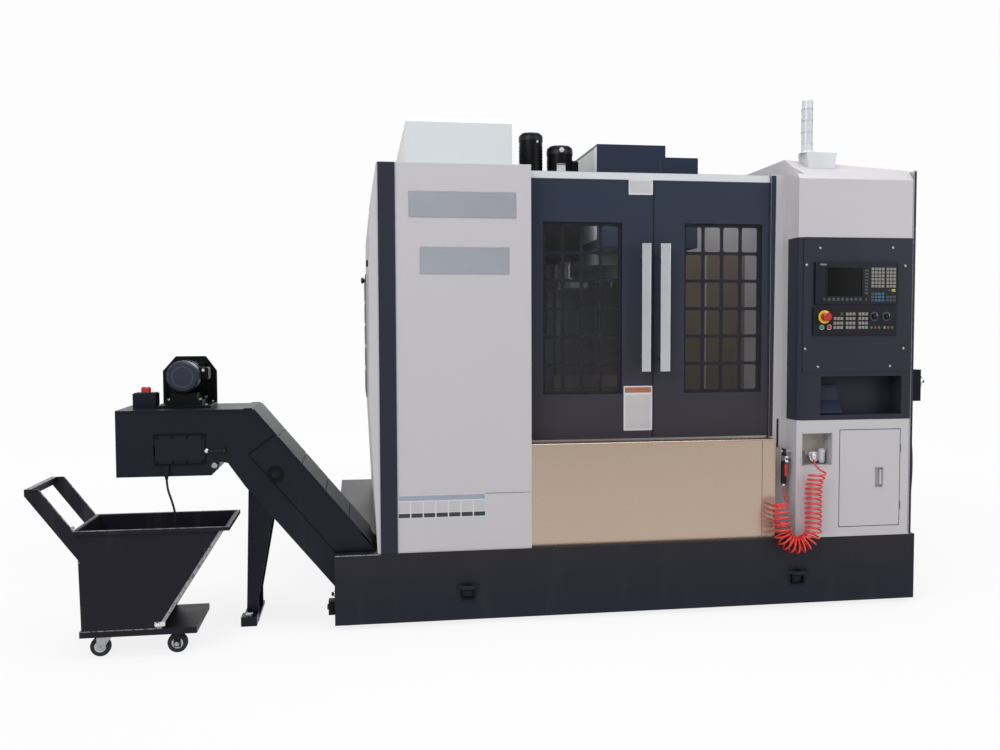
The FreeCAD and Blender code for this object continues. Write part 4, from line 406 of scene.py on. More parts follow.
soft_lamp("key_lamp", (-4.5, -6.0, 4.6), (0, -0.5, 1.0), (3.5, 2.5), 200)
soft_lamp("fill_lamp", (5.0, -5.5, 2.8), (0.2, -0.8, 1.0), (3.0, 3.0), 100)
soft_lamp("top_lamp", (0.2, -1.2, 5.4), (0, -0.3, 1.0), (5.0, 3.0), 185)
soft_lamp("back_lamp", (0.5, 5.5, 4.0), (0, 0.5, 1.2), (4.0, 2.0), 110)
soft_lamp("cabin_lamp", (0.0, -0.62, 1.9), (0.0, -0.1, 1.0), (1.0, 0.1), 4)


# %% [markdown]
# Most small pieces, from a key cap to a screw, are an outline carried outwards from a wall
# in a few steps: straight up, then inwards over a soft edge. So one surface covers them: a
# stack of rings, each ring an outline with its own inset and height, closed by two caps.
# The wall that a piece stands on is named by the side it faces.

# %% Rings on a wall
X, Y, Z = np.eye(3)
FRONT_Y = -1.0  # the front plane of the base, the cabinet and its door
FACING = {"front": (X, Z, -Y), "back": (-X, Z, Y), "left": (-Y, Z, -X), "right": (Y, Z, X),
    "top": (X, Y, Z), "below": (X, -Y, -Z)}


def rounded(width, height, radius, corner=4):
    """A rectangle with quarter circles at its corners, from the lower right one round."""
    turn = np.linspace(0, math.pi / 2, corner + 1)
    starts = np.array([-math.pi / 2, 0, math.pi / 2, math.pi])
    signs = np.array([[1, -1], [1, 1], [-1, 1], [-1, -1]])
    centres = signs * (np.array([width, height]) / 2 - radius)
    angle = starts[:, None] + turn
    arc = np.stack([np.cos(angle), np.sin(angle)], -1) * radius
    return (centres[:, None] + arc).reshape(-1, 2)


def circle(radius, count=24):
    """Points at equal angles round a circle."""
    angle = np.arange(count) * 2 * math.pi / count
    return np.stack([np.cos(angle), np.sin(angle)], -1) * radius


def stack(side, centre, outlines, heights):
    """Rings in space: centre + u * across + v * up + height * outwards."""
    across, up, out = FACING[side]
    rings = [np.asarray(centre) + line[:, :1] * across + line[:, 1:] * up + high * out
             for line, high in zip(outlines, heights)]
    return np.array(rings)


def button(side, centre, size, height, radius=0.001, edge=0.0006):
    """A rounded block on a wall, with a soft top edge; size is (width, height)."""
    lines = [rounded(*size, radius), rounded(*size, radius),
             rounded(size[0] - edge * 2, size[1] - edge * 2, max(radius - edge, radius * 0.4))]
    return stack(side, centre, lines, [0, height - edge, height])


def dome(side, centre, radii, heights, count=24):
    """A turned piece: a circle for each pair of radius and height."""
    return stack(side, centre, [circle(r, count) for r in radii], heights)


def hoop(side, centre, radii, heights, count=24):
    """A turned piece whose outline runs back into itself, marked as open."""
    return dome(side, centre, radii, heights, count), True


def border(side, centre, size, band, height, radius=0.004):
    """A flat frame: out over the outer edge, in across the band and back down; open too."""
    outer, inner = rounded(*size, radius), rounded(
        size[0] - band * 2, size[1] - band * 2, max(radius - band, 0.0015))
    return stack(side, centre, [outer, outer, inner, inner], [0, height, height, 0]), True


def faces_of(rings, ring_like, start):
    """Quads between neighbouring rings, and a cap at both ends unless it is ring like. Start
    is the number of the first vertex."""
    steps, count = rings.shape[:2]
    rows = np.arange(steps if ring_like else steps - 1)[:, None]
    i = np.arange(count)
    here, after = start + i, start + (i + 1) % count
    low, high = rows * count, (rows + 1) % steps * count
    quads = np.stack([low + here, low + after, high + after, high + here], -1)
    caps = [] if ring_like else [here[::-1].tolist(), (here + (steps - 1) * count).tolist()]
    return quads.reshape(-1, 4).tolist() + caps


def piece(name, parts, finish, body="machine", smooth=30):
    """One mesh of many ring stacks, capped at their ends unless they are marked as open."""
    verts, faces, start = [], [], 0
    for rings, ring_like in (p if isinstance(p, tuple) else (p, False) for p in parts):
        verts.append(rings.reshape(-1, 3))
        faces += faces_of(rings, ring_like, start)
        start += rings.shape[0] * rings.shape[1]
    mesh = bpy.data.meshes.new(name)
    mesh.from_pydata(np.concatenate(verts).tolist(), [], faces)
    mesh.polygons.foreach_set("use_smooth", [True] * len(faces))
    mesh.set_sharp_from_angle(angle=math.radians(smooth))
    mesh.materials.append(finish)
    made = add(name, mesh)
    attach(made, body)


def slab(name, finish, side, centres, size, height, radius=0.001, edge=0.0006, body="machine"):
    """A piece of rounded blocks, at one place or at each of a list."""
    piece(name, [button(side, at, size, height, radius, edge)
                 for at in np.atleast_2d(centres)], finish, body)


def turned(name, finish, side, centres, radii, heights, count=24, body="machine", smooth=30):
    """A piece of turned shapes, at one place or at each of a list."""
    piece(name, [dome(side, at, radii, heights, count)
                 for at in np.atleast_2d(centres)], finish, body, smooth)


def hoops(name, finish, side, centres, radii, heights, count=24, body="machine", smooth=30):
    """The same for turned shapes whose outline runs back into itself."""
    piece(name, [hoop(side, at, radii, heights, count)
                 for at in np.atleast_2d(centres)], finish, body, smooth)


def teeth(side, centre, angles, reach, half=(0.0004, 0.0004), high=0.0004):
    """Radial bars round a centre: reach is inner and outer radius, half their half widths."""
    parts = []
    for angle in angles:
        way = np.array([math.cos(angle), math.sin(angle)])
        across = np.array([-way[1], way[0]])
        line = np.array([way * r + across * s for r, s in (
            (reach[0], -half[0]), (reach[1], -half[1]), (reach[1], half[1]), (reach[0], half[0]))])
        parts.append(stack(side, centre, [line, line], [0, high]))
    return parts


print("a rounded outline has", len(rounded(1, 1, 0.1)), "points")


# %% [markdown]
# The left front panel carries two plates and a strip of stickers. A plate is bare brushed
# aluminium with a raised border and a rivet in each corner; the strip is a row of plain
# fields. Thin layers like these are lifted by a film's thickness, so that none shares a face.

# %% Plates on the left front panel
plate_metal = metal("plate_aluminium", rgb(194, 198, 208), 0.36, (0.02, 1, 1), 1300.0, 0.04)
sticker_white = plastic("sticker_film", rgb(194, 195, 199), 0.38, 0.3)
sticker_grey = plastic("sticker_line", rgb(178, 176, 178), 0.4, 0.3)
# Dark strips in seams, gaps, folds and slots are painted shadow.
painted_seam_shadow = plastic("seam_shadow", rgb(64, 65, 70), 0.7)
plate_edge = plastic("plate_edge_grey", rgb(120, 122, 132), 0.5)
panel_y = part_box("left_front_panel")[0][1]


def bare_plate(name, x, z, wall, finish):
    """A thin plate with a raised border, a dark edge line and a rivet in each corner."""
    centre = ((x[0] + x[1]) / 2, wall, (z[0] + z[1]) / 2)
    size = np.array([x[1] - x[0], z[1] - z[0]])
    corners = [(cx, wall - 0.001, cz) for cx in (x[0] + 0.011, x[1] - 0.011)
               for cz in (z[0] + 0.011, z[1] - 0.011)]
    rivets = [dome("front", c, (0.003, 0.003, 0.0018), (0, 0.0006, 0.0013), 12) for c in corners]
    piece(name + "_rivets", rivets, zinc)
    piece(name + "_edge", [border("front", centre, size + 0.001, 0.0024, 0.0010)], plate_edge)
    piece(name, [button("front", centre, size, 0.0012, 0.004, 0.0005),
                 border("front", centre, size - 0.006, 0.0022, 0.0019)], finish)


bare_plate("upper_plate", (-0.981, -0.532), (1.713, 1.82), panel_y, plate_metal)
bare_plate("lower_plate", (-0.936, -0.562), (1.479, 1.591), panel_y, plate_metal)
strip_ink = plastic("sticker_ink", rgb(48, 54, 56), 0.4, 0.3)
strip_band = plastic("sticker_band", rgb(146, 150, 166), 0.4, 0.3)
film, ink, strip_x = 0.0006, 0.0002, -0.851
fields = np.linspace(-1.036, -0.666, 8)
cells = (fields[1:] + fields[:-1]) / 2
slab("sticker_strip", sticker_white, "front", (strip_x, panel_y, 0.5075), (0.37, 0.099), film,
    0.003, 0.0002)
for label, finish, xs, z, size, radius in (
        ("cells", sticker_grey, cells, 0.5055, (0.0475, 0.045), 0.002),
        ("blocks", strip_ink, cells, 0.4705, (0.0475, 0.018), 0.001),
        ("bar", strip_band, [strip_x], 0.5435, (0.364, 0.021), 0.001)):
    spots = [(x, panel_y - film, z) for x in xs]
    slab("sticker_" + label, finish, "front", spots, size, ink, radius, 0.0001)
# the panel seam is a painted shadow line
slab("panel_seam", painted_seam_shadow, "front", (-0.753, panel_y, 0.556), (0.568, 0.0022), 0.0003, 0.0005,
    0.0001)

# %% [markdown]
# A brush seal runs down where the doors meet, and a fascia covers the upper rail; its pale colour
# is partly painted light.
# The left door has two plain stickers, a film each with thinner fields of colour on it.

# %% Door seals, fascia and stickers
rubber = plastic("seal_rubber", rgb(20, 20, 22), 0.6, 2.0)
door_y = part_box("door_left")[0][1]
for side, edge in (("left", 0.0985), ("right", 0.1015)):
    brush = button("front", (edge, door_y, 1.331), (0.0024, 1.12), 0.0012, 0.0006, 0.0003)
    piece(f"meeting_seal_{side}", [brush], rubber, f"{side}_door")
rail_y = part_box("door_rails")[0][1]
label_band = plastic("label_band", rgb(158, 98, 78), 0.4, 0.3)
slab("rail_fascia", lit_white_paint, "front", (0.087, rail_y, 1.9155), (1.106, 0.029), 0.0018, 0.001,
    0.0004)
for label, finish, out, (x, z), size in (
        ("low", sticker_white, 0, (0.0315, 0.897), (0.131, 0.198)),
        ("high", sticker_white, 0, (0.041, 1.87), (0.11, 0.068)),
        ("low_band", label_band, film, (0.0315, 0.978), (0.121, 0.024)),
        ("low_field", sticker_grey, film, (0.0315, 0.882), (0.115, 0.15)),
        ("high_field", sticker_grey, film, (0.041, 1.87), (0.096, 0.052))):
    slab("door_sticker_" + label, finish, "front", (x, door_y - out, z), size,
        *((ink, 0.002, 0.0001) if out else (film, 0.004, 0.0002)), body="left_door")

# %% [markdown]
# The operator's panel is a dense field of small keys. Each key is a soft edged button, and
# a whole block of them is one mesh, so the blocks stay light. Their places were read off
# the photograph against the plate's own corners.

# %% Keys of the display unit
cap_pale = plastic("cap_pale", rgb(126, 124, 119), 0.45, 0.5)
cap_dark = plastic("cap_dark", rgb(62, 66, 72), 0.45, 0.5)
cap_blue = plastic("cap_blue", rgb(44, 90, 114), 0.4, 0.5)
cap_yellow = plastic("cap_yellow", rgb(166, 162, 36), 0.35, 0.5)
lamp_green = plastic("lamp_green", rgb(26, 108, 70), 0.3, 0.2, 0.4)
lamp_red = plastic("lamp_red", rgb(140, 34, 38), 0.3, 0.2, 0.4)
display_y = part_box("display_unit")[0][1]
panel_keys_y = FRONT_Y - 0.003 - 0.008  # the plate and the key foil lie on the front


def keys(name, xs, zs, wall, size, finish, height=0.0022):
    """A grid of soft edged caps on a front wall."""
    piece(name, [button("front", (x, wall, z), size, height, 0.0015, 0.0006)
                 for z in zs for x in xs], finish)


upper_rows, lower_rows = np.linspace(1.434, 1.51, 6), np.linspace(1.3715, 1.4, 3)
last_columns = np.linspace(1.1415, 1.174, 3)
for name, xs, zs, size, finish in (
        ("keys_letters", np.linspace(1.07, 1.119, 4), upper_rows, (0.0125, 0.0115), cap_pale),
        ("keys_numbers", last_columns, upper_rows, (0.0125, 0.0115), cap_pale),
        ("keys_cursor", np.linspace(1.0865, 1.119, 3), lower_rows, (0.0125, 0.0105), cap_blue),
        ("keys_cursor_side", [1.07], lower_rows, (0.0125, 0.0105), cap_dark),
        ("keys_edit", last_columns, (1.3715, 1.386), (0.0125, 0.0105), cap_dark),
        ("key_help", [1.17], [1.4155], (0.017, 0.012), cap_yellow),
        ("key_small", [1.15], [1.4155], (0.01, 0.006), cap_dark),
        ("soft_keys_right", [1.0395], np.linspace(1.4035, 1.503, 8), (0.017, 0.0085), cap_dark),
        ("soft_keys_below", np.linspace(0.8645, 1.0115, 8), [1.3755], (0.0135, 0.0135), cap_dark),
        ("soft_keys_ends", (0.842, 1.0395), [1.3755], (0.009, 0.011), cap_dark)):
    keys(name, xs, zs, display_y, size, finish)

# %% [markdown]
# The screen is switched off: a glass plate in its recess, nearly black, with a clear coat
# that picks up the lamps. A thin raised rim frames the whole unit.

# %% Screen
screen_glass = plastic("screen_glass", rgb(20, 19, 20), 0.16, 0.0, shine=0.05)
slab("screen", screen_glass, "front", (0.937, display_y + 0.003, 1.4525), (0.163, 0.124), 0.0015,
    0.001, 0.0004)
piece("display_rim", [border("front", (0.9955, display_y, 1.4465), (0.392, 0.186), 0.004, 0.0015),
    border("front", (0.937, display_y, 1.4525), (0.176, 0.137), 0.006, 0.002)], housing_plastic)
slab("bare_badge", cap_pale, "front", (0.836, display_y, 1.5285), (0.03, 0.007), 0.0006, 0.001,
    0.0002)

# %% [markdown]
# Below the display are three groups of membrane keys, the stop button in its yellow ring,
# two override knobs with their dials, and a row of little lamps. The dials carry plain
# graduation strokes, which say nothing but where the knob points.

# %% Machine panel
rows = (1.2515, 1.2703, 1.2907)
for label, xs in (("left", (0.894, 0.91, 0.926)), ("middle", (0.952, 0.968, 0.984)),
        ("right", (1.012, 1.028, 1.044))):
    tops = rows if label == "left" else rows + (1.311,)
    keys(f"panel_keys_{label}", xs, tops, panel_keys_y, (0.0128, 0.0128), cap_pale, 0.0012)
keys("panel_key_single", [0.926], [1.311], panel_keys_y, (0.0128, 0.0128), cap_dark, 0.0012)
for label, xs, finish in (("lamps_green", (1.068, 1.104, 1.166), lamp_green),
        ("lamps_red", (1.086, 1.148), lamp_red), ("lamp_white", [1.131], cap_pale)):
    keys("panel_" + label, xs, [1.2505], panel_keys_y, (0.0105, 0.0105), finish, 0.0015)
for name, x in (("feed", 1.081), ("spindle", 1.14)):
    at = (x, panel_keys_y, 1.3)
    turned(f"{name}_dial", cap_dark, "front", at, (0.021, 0.021, 0.0205), (0, 0.0006, 0.0009), 40)
    marks = teeth("front", (x, panel_keys_y - 0.0009, 1.3), np.radians(np.linspace(240, -60, 13)),
        (0.0165, 0.0198))
    piece(f"{name}_dial_marks", marks, cap_pale)
    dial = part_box(f"{name}_knob")
    line = [button("front", (x, dial[0][1], 1.3055), (0.0016, 0.01), 0.0005, 0.0004, 0.0002)]
    piece(f"{name}_pointer", line, sticker_white, f"{name}_dial")
hoops("stop_ring", yellow_gloss, "front", (0.845, panel_keys_y, 1.298),
    (0.029, 0.029, 0.027, 0.0175, 0.0175), (0, 0.0012, 0.0022, 0.0022, 0), 48)
hoops("button_collars", chrome, "front", [(x, panel_keys_y, 1.252) for x in (0.831, 0.867)],
    (0.0115, 0.011, 0.0088, 0.0088), (0, 0.0022, 0.0022, 0), 32)
heads = [(0.825, 1.601), (1.17, 1.605), (0.762, 1.526), (1.231, 1.525), (0.759, 1.157),
    (1.228, 1.157), (0.821, 1.077), (1.165, 1.078)]
plate_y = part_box("operator_plate")[0][1]
turned("plate_screws", zinc, "front", [(x, plate_y, z) for x, z in heads],
    (0.0056, 0.0054, 0.0038, 0.0022, 0.002), (0, 0.0018, 0.0034, 0.0036, 0.0014))

# %% [markdown]
# A folded sheet stands in the left of the console's recess as a rest for papers. It is one
# line of folds carried sideways, made thick by Solidify.

# %% Sheet in the recess
rest_line = [(-0.908, 0.992), (-0.925, 0.992), (-0.95, 0.925), (-0.99, 0.868)]
rest_paint = paint("rest_paint", rgb(36, 42, 60), 0.35, cloud=0.1)
made = add("paper_rest", carried("paper_rest", rest_line, (0.8385, 0.948), rest_paint))
wall = made.modifiers.new("wall", "SOLIDIFY")
wall.thickness = 0.0015
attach(made, "machine")

# %% [markdown]
# The recess under the console holds the air fittings: a gauge with a bare dial, a clear
# bowl and a chrome push fitting. They are turned pieces on the recess's back wall.

# %% Air fittings
gauge_x, gauge_z = 0.837, 0.67
hoops("gauge_rim", chrome, "front", (gauge_x, -0.943, gauge_z), (0.0225, 0.0225, 0.0195, 0.0195),
    (0, 0.0045, 0.0045, 0), 40)
turned("gauge_dial", sticker_white, "front", (gauge_x, -0.942, gauge_z), (0.0196, 0.0196),
    (0, 0.0006), 40)
marks_at = (gauge_x, -0.9427, gauge_z)
scale = teeth("front", marks_at, np.radians(np.linspace(225, -45, 11)), (0.014, 0.018))
needle = teeth("front", marks_at, [math.radians(150)], (-0.003, 0.0145), (0.0006, 0.0006))
piece("gauge_marks", scale + needle, black_plastic)
turned("filter_bowl", lamp_white, "top", (0.87, -0.952, 0.64),
    (0.009, 0.013, 0.014, 0.014, 0.0165, 0.0165, 0.01),
    (0, 0.004, 0.012, 0.046, 0.048, 0.064, 0.068), 28)
turned("push_fitting", chrome, "below", (0.787, -1.042, 0.69),
    (0.0095, 0.0112, 0.0112, 0.0095, 0.0088), (-0.006, -0.004, 0.006, 0.008, 0.016))
turned("fitting_nut", chrome, "front", (0.787, FRONT_Y, 0.69), (0.0125, 0.0132, 0.0132, 0.0125),
    (-0.006, -0.004, 0.01, 0.012), 6, smooth=10)

# %% [markdown]
# The blow gun hangs on a hook beside the recess. Its body is chromed, with a ribbed black
# grip, a red lever and a steel spout, and a flat hanger runs up the post above it.

# %% Blow gun
gun_x, gun_y = 0.69, -0.95
turned("grip_ribs", rubber, "top", [(gun_x, gun_y, z) for z in np.arange(0.562, 0.64, 0.0125)],
    (0.0119, 0.0126, 0.0126, 0.0119), (0, 0.002, 0.007, 0.009))
turned("gun_collar", chrome, "top", (gun_x, gun_y, 0.541), (0.0074, 0.0092, 0.0092, 0.0074),
    (0, 0.002, 0.012, 0.014))
slab("gun_cap", chrome, "front", (gun_x, -0.9808, 0.6655), (0.014, 0.028), 0.002, 0.003, 0.001)
piece("gun_sides", [button(side, (gun_x + out, -0.962, 0.667), (0.03, 0.024), 0.0016, 0.004,
    0.0008) for side, out in (("left", -0.0055), ("right", 0.0055))], chrome)
slab("gun_hanger", black_plastic, "front", (0.682, -0.899, 0.775), (0.0085, 0.13), 0.003, 0.003,
    0.001)

# %% [markdown]
# The coiled hose is one polyurethane tube. Its points wind round a line that drops from the
# fitting, turns through a half circle and climbs to the gun: a helix whose axis bends. A
# NURBS of order 3 runs inside its control points, so they stand a little wider than the
# tube. At both ends the tube leaves the winding along its tangent, in a bend as wide as a turn.


# %% Coiled hose
def ease(share):
    """A smooth step from 0 to 1."""
    share = np.clip(share, 0.0, 1.0)
    return share * share * (3 - 2 * share)


def coil_axis(way, x_right, x_left, y_out, y_in, top, bend, end):
    """The line that the coil winds round, at a distance along it."""
    radius = (x_right - x_left) / 2
    down, arc = top - bend, math.pi * radius
    turn = np.clip((way - down) / radius, 0, math.pi)
    climb = np.clip(way - down - arc, 0, None)
    x = x_right - radius + radius * np.cos(turn)
    z = np.where(way < down, top - way, bend - radius * np.sin(turn) + climb)
    y = y_out + (y_in - y_out) * ease(climb / (end - bend))
    return np.stack([x, y, z], -1)


def coil(turns, per_turn, radius, line, rise, settle=3.5):
    """Points round the axis: the tube comes straight down by rise, and its first turns, settle
    of them, swing in under the fitting."""
    down, arc = line["top"] - line["bend"], math.pi * (line["x_right"] - line["x_left"]) / 2
    total = down + arc + line["end"] - line["bend"]
    lead = np.radians([0, 22.5, 45, 67.5])
    angle = np.concatenate([rise / radius * (1 - np.cos(lead)),
                            rise / radius + 2 * math.pi * np.arange(turns * per_turn) / per_turn])
    spot = np.minimum(angle / (2 * math.pi * turns), 1) * total
    centre = coil_axis(spot, **line)
    ahead = coil_axis(spot + 0.0005, **line) - coil_axis(np.maximum(spot - 0.0005, 0), **line)
    ahead /= np.linalg.norm(ahead, axis=1, keepdims=True)
    side = Y - ahead * ahead[:, 1:2]
    side /= np.linalg.norm(side, axis=1, keepdims=True)
    third = np.cross(ahead, side)
    centre -= Y * radius * (1 - ease(angle / (2 * math.pi * settle)))[:, None]
    centre[:len(lead)] += Z * rise * (1 - np.sin(lead))[:, None]
    return centre + radius * (side * np.cos(angle)[:, None] + third * np.sin(angle)[:, None])


def leave_winding(points, centre, radius, goal, arc):
    """Cuts a winding a little before its tangent points at the goal, and adds a straight run
    along the tangent and an arc up to the goal."""
    reach = goal[:2] - centre
    lean = math.atan2(reach[1], reach[0]) - math.acos(radius / math.hypot(*reach))
    around = np.arctan2(points[:, 1] - centre[1], points[:, 0] - centre[0])
    gap = np.degrees(lean - around) % 360
    last = np.nonzero((gap > 16) & (gap < 46.5))[0][-1]
    off = centre + radius * np.array([math.cos(lean), math.sin(lean)])
    run = math.hypot(*(goal[:2] - off))
    toward, high = (goal[:2] - off) / run, points[last, 2] + 0.001
    tail = [[*off, high]]
    for turn in np.radians([0, 22.5, 45, 67.5, 90]):
        spot = off + toward * (run - arc + arc * math.sin(turn))
        tail.append([*spot, high + 0.004 + arc * (1 - math.cos(turn))])
    return np.vstack([points[:last + 1], tail, goal])


def cord_curve(name, points, radius, finish):
    """One open NURBS spline with a round section."""
    data = bpy.data.curves.new(name, "CURVE")
    data.dimensions = "3D"
    spline = data.splines.new("NURBS")
    spline.points.add(len(points) - 1)
    spline.points.foreach_set("co", np.c_[points, np.ones(len(points))].ravel())
    spline.order_u = 3
    spline.use_endpoint_u = True
    data.bevel_depth, data.bevel_resolution, data.resolution_u = radius, 3, 4
    data.use_fill_caps = True
    data.materials.append(finish)
    made = add(name, data)
    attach(made, "machine")
    return made


turn_radius = 0.0364
coil_line = dict(x_right=0.787, x_left=0.645, y_out=-1.042, y_in=-1.012, top=0.622, bend=0.363,
    end=0.485)
fitting, inlet = np.array([0.787, -1.042, 0.672]), np.array([gun_x, gun_y, 0.54])
winding = coil(28, 12, turn_radius, coil_line, rise=fitting[2] - coil_line["top"])
hose_points = leave_winding(winding, np.array([0.645, -1.012]), turn_radius, inlet, 0.036)
hose = cord_curve("coiled_hose", hose_points, 0.004, hose_red)
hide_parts("hose_coil")
print("hose points", len(hose_points))

# %% [markdown]
# Two black cables hang free: the hand wheel's, from its box down to the base, and the drain
# hose under the conveyor's head, which ends open over the cart. Each follows the points of
# its CAD route.

# %% Hanging cables
wheel_points = np.array([[1.292, -0.96, 0.906], [1.292, -0.96, 0.828], [1.3, -0.96, 0.746],
    [1.307, -0.96, 0.654], [1.306, -0.96, 0.564], [1.3, -0.96, 0.478], [1.292, -0.96, 0.398],
    [1.292, -0.96, 0.328]])
drain_points = np.array([[-1.97, -0.947, 0.662], [-1.97, -0.947, 0.61], [-1.952, -0.947, 0.558],
    [-1.938, -0.947, 0.502], [-1.94, -0.947, 0.44], [-1.954, -0.947, 0.386],
    [-1.982, -0.947, 0.34], [-2.022, -0.947, 0.312]])
for name, node_name, points, size, length, end in (
        ("wheel_cable", "handwheel_cable", wheel_points, 0.008, 0.579, "object"),
        ("drain_hose", "conveyor_cable", drain_points, 0.009, 0.383, "bare")):
    made = cord_curve(name, points, size / 2, cable_jacket)
    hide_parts(node_name)
for end, z, side in (("top", 0.918, "below"), ("foot", 0.314, "top")):
    turned("cable_sleeve_" + end, rubber, side, (1.292, -0.96, z),
        (0.0098, 0.0098, 0.0082, 0.0064, 0.0052), (0, 0.012, 0.013, 0.02, 0.026))
turned("drain_sleeve", rubber, "below", (-1.97, -0.947, 0.664), (0.0096, 0.009, 0.0062, 0.0055),
    (0, 0.004, 0.018, 0.022))

# %% [markdown]
# The conveyor is welded from bent plate. What shows close up is where plates meet: a lap
# plate on the climbing side, cover plates along the slope, and the hatch with its
# screws. A flat outline in the side plane, carried a little outwards, makes each of them.

# %% Conveyor plates
conveyor_y, slope, plate_foot = -0.94, 0.8282, 0.318
cover_dark = paint("hatch_paint", rgb(21, 22, 34), 0.36, cloud=0.08, dust=0.0, shine=0.2)
fan_paint = paint("fan_cover_paint", rgb(38, 42, 60), 0.34, cloud=0.12, shine=0.3)


def outline_plate(wall, points, out, edge=0.0008):
    """A flat outline of (x, z) corners, anticlockwise, raised from a front wall."""
    line = np.array(points)
    middle = line.mean(0)
    reach = np.linalg.norm(line - middle, axis=1, keepdims=True)
    small = middle + (line - middle) * (1 - edge / reach)
    return stack("front", (0, wall, 0), [line, line, small], [0, out - edge * 0.7, out])


def down_slope(x, z, low):
    """Where the conveyor's slope through (x, z) comes down to a lower height."""
    return (x + (z - low) * slope, low)


lap_low, lap_high, top = (-1.641, 0.737), (-1.5384, 0.812), (-1.632, 0.925)
lap = [lap_low, down_slope(*lap_low, plate_foot), down_slope(*top, plate_foot),
    down_slope(*top, 0.812)]
piece("lap_plate", [outline_plate(conveyor_y, lap, 0.0025)], conveyor_paint)
# Black strips in the gaps at the lap plate's edges are painted shadow.
gap_shadows = ([(-1.648, 0.737), down_slope(-1.648, 0.737, plate_foot), lap[1], lap_low],
    [lap_low, lap_high, (-1.5405, 0.8185), (-1.645, 0.7435)])
piece("lap_gap_shadow", [outline_plate(conveyor_y, gap, 0.0032) for gap in gap_shadows], motor_paint)
hoops("lifting_lug", motor_paint, "front", (-1.538, conveyor_y, 0.651),
    (0.033, 0.033, 0.019, 0.019), (0.002, 0.011, 0.011, 0.002), 40)
hatch_y = -0.944
screws = [(x, hatch_y, z) for z in (0.8135, 0.7135) for x in (-2.006, -1.946, -1.888, -1.828)]
turned("hatch_screws", motor_paint, "front", screws, (0.0062, 0.0062, 0.005), (0, 0.003, 0.0042),
    6, smooth=10)
piece("hatch_frame", [border("front", (-1.917, conveyor_y, 0.7635), (0.206, 0.13), 0.006, 0.003,
    0.005)], motor_paint)
slab("hatch_panel", cover_dark, "front", (-1.917, hatch_y, 0.7635), (0.176, 0.098), 0.0016, 0.004)
slab("hatch_tab", conveyor_paint, "front", (-2.026, conveyor_y, 0.758), (0.024, 0.04), 0.003,
    0.004)
turned("lever_hub", chrome, "front", (-1.811, conveyor_y, 0.756), (0.009, 0.009, 0.007),
    (0, 0.01, 0.012))
piece("lever_arm", [button("front", (-1.772, conveyor_y - 0.008, 0.7555), (0.072, 0.011), 0.004,
    0.005, 0.001), dome("front", (-1.741, conveyor_y - 0.006, 0.755), (0.0085, 0.0085, 0.006),
    (0, 0.016, 0.019), 20)], black_plastic)
turned("notch_pin", zinc, "front", (-1.782, conveyor_y, 0.6935), (0.012, 0.012, 0.0095),
    (0, 0.006, 0.008))


def worn(name, colour, steel, cover, scale=60.0):
    """Paint rubbed through to steel, also used for painted highlights; cover says how much paint
    is left.
    """
    made = Finish(name)
    rub = made.noise(scale, 5.0, rough=0.75).between(cover - 0.06, cover + 0.06)
    fine = made.noise(900.0, 2.0)
    made.set(Base_Color=made.mix(rub, colour, steel), Metallic=rub * 0.85,
             Roughness=fine * 0.12 + rub * 0.05 + 0.36,
             Normal=made.bump(rub * -0.4 + fine * 0.3, 0.0002))
    return made.material


cover_worn = worn("worn_cover", rgb(49, 52, 55), rgb(86, 90, 88), 0.6, 48.0)


def cover_plates():
    """Plates laid down the slope, each between two (x, z) places, with a gap between."""
    along = np.array([slope, -1.0]) / math.hypot(slope, 1.0)
    outward = np.array([-along[1], along[0]])
    start = np.array([-1.628, 0.925]) + outward * 0.0052
    parts = []
    for i in range(5):
        low, high = start + along * (0.006 + i * 0.150), start + along * (0.152 + i * 0.150)
        ends = [low, high, high + outward * 0.002, low + outward * 0.002]
        ring = np.array([[[x, y, z] for x, z in ends] for y in (-0.945, -0.605)])
        parts.append(ring[:, ::-1])
    return parts


piece("cover_plates", cover_plates(), cover_worn)
lips = [button("front", (-1.8995, conveyor_y, 0.9215), (0.53, 0.006), 0.0045, 0.002, 0.0006),
    button("front", (-1.98, conveyor_y, 0.6575), (0.37, 0.006), 0.003, 0.002, 0.0006)]
piece("head_lips", lips, conveyor_paint)

# %% [markdown]
# The drive is a small squirrel cage motor: a pressed fan cover with slots, a finned body, a
# terminal box on its side and feet on a seat. Slots and fins are rings and blocks.

# %% Conveyor motor
motor_at = (-1.919, -0.84, 1.055)
turned("fan_cover", fan_paint, "front", (motor_at[0], motor_at[1] + 0.046, motor_at[2]),
    (0.0655, 0.0675, 0.0675, 0.0655, 0.058, 0.03, 0.012),
    (-0.002, 0, 0.03, 0.04, 0.0468, 0.049, 0.0492), 48)
# the fan cover's slots are dark rings of painted shade
piece("fan_slots", [hoop("front", (motor_at[0], motor_at[1] - 0.0012, motor_at[2]),
    (a + 0.0045, a + 0.0045, a, a), (0, 0.0014, 0.0014, 0), 48) for a in (0.018, 0.029, 0.04)],
    painted_seam_shadow)
fins = np.radians(np.arange(12, 360, 12))
piece("motor_fins", teeth("front", (motor_at[0], -0.706, motor_at[2]), fins, (0.0595, 0.068),
    (0.0012, 0.0009), 0.082), motor_paint)
piece("terminal_box", [button("right", (-1.86, -0.75, 1.066), (0.072, 0.052), 0.034, 0.006, 0.002),
    button("right", (-1.8265, -0.75, 1.066), (0.064, 0.044), 0.0035, 0.005, 0.001)], motor_paint)
turned("terminal_dot", sticker_white, "front", (-1.844, -0.786, 1.08), (0.0065, 0.0065, 0.0045),
    (0, 0.002, 0.0035), 20)
turned("seat_bolts", zinc, "top", [(x, y, 0.955) for x in (-1.982, -1.856)
    for y in (-0.795, -0.65)], (0.008, 0.008, 0.0065), (0, 0.006, 0.0075), 6, smooth=10)
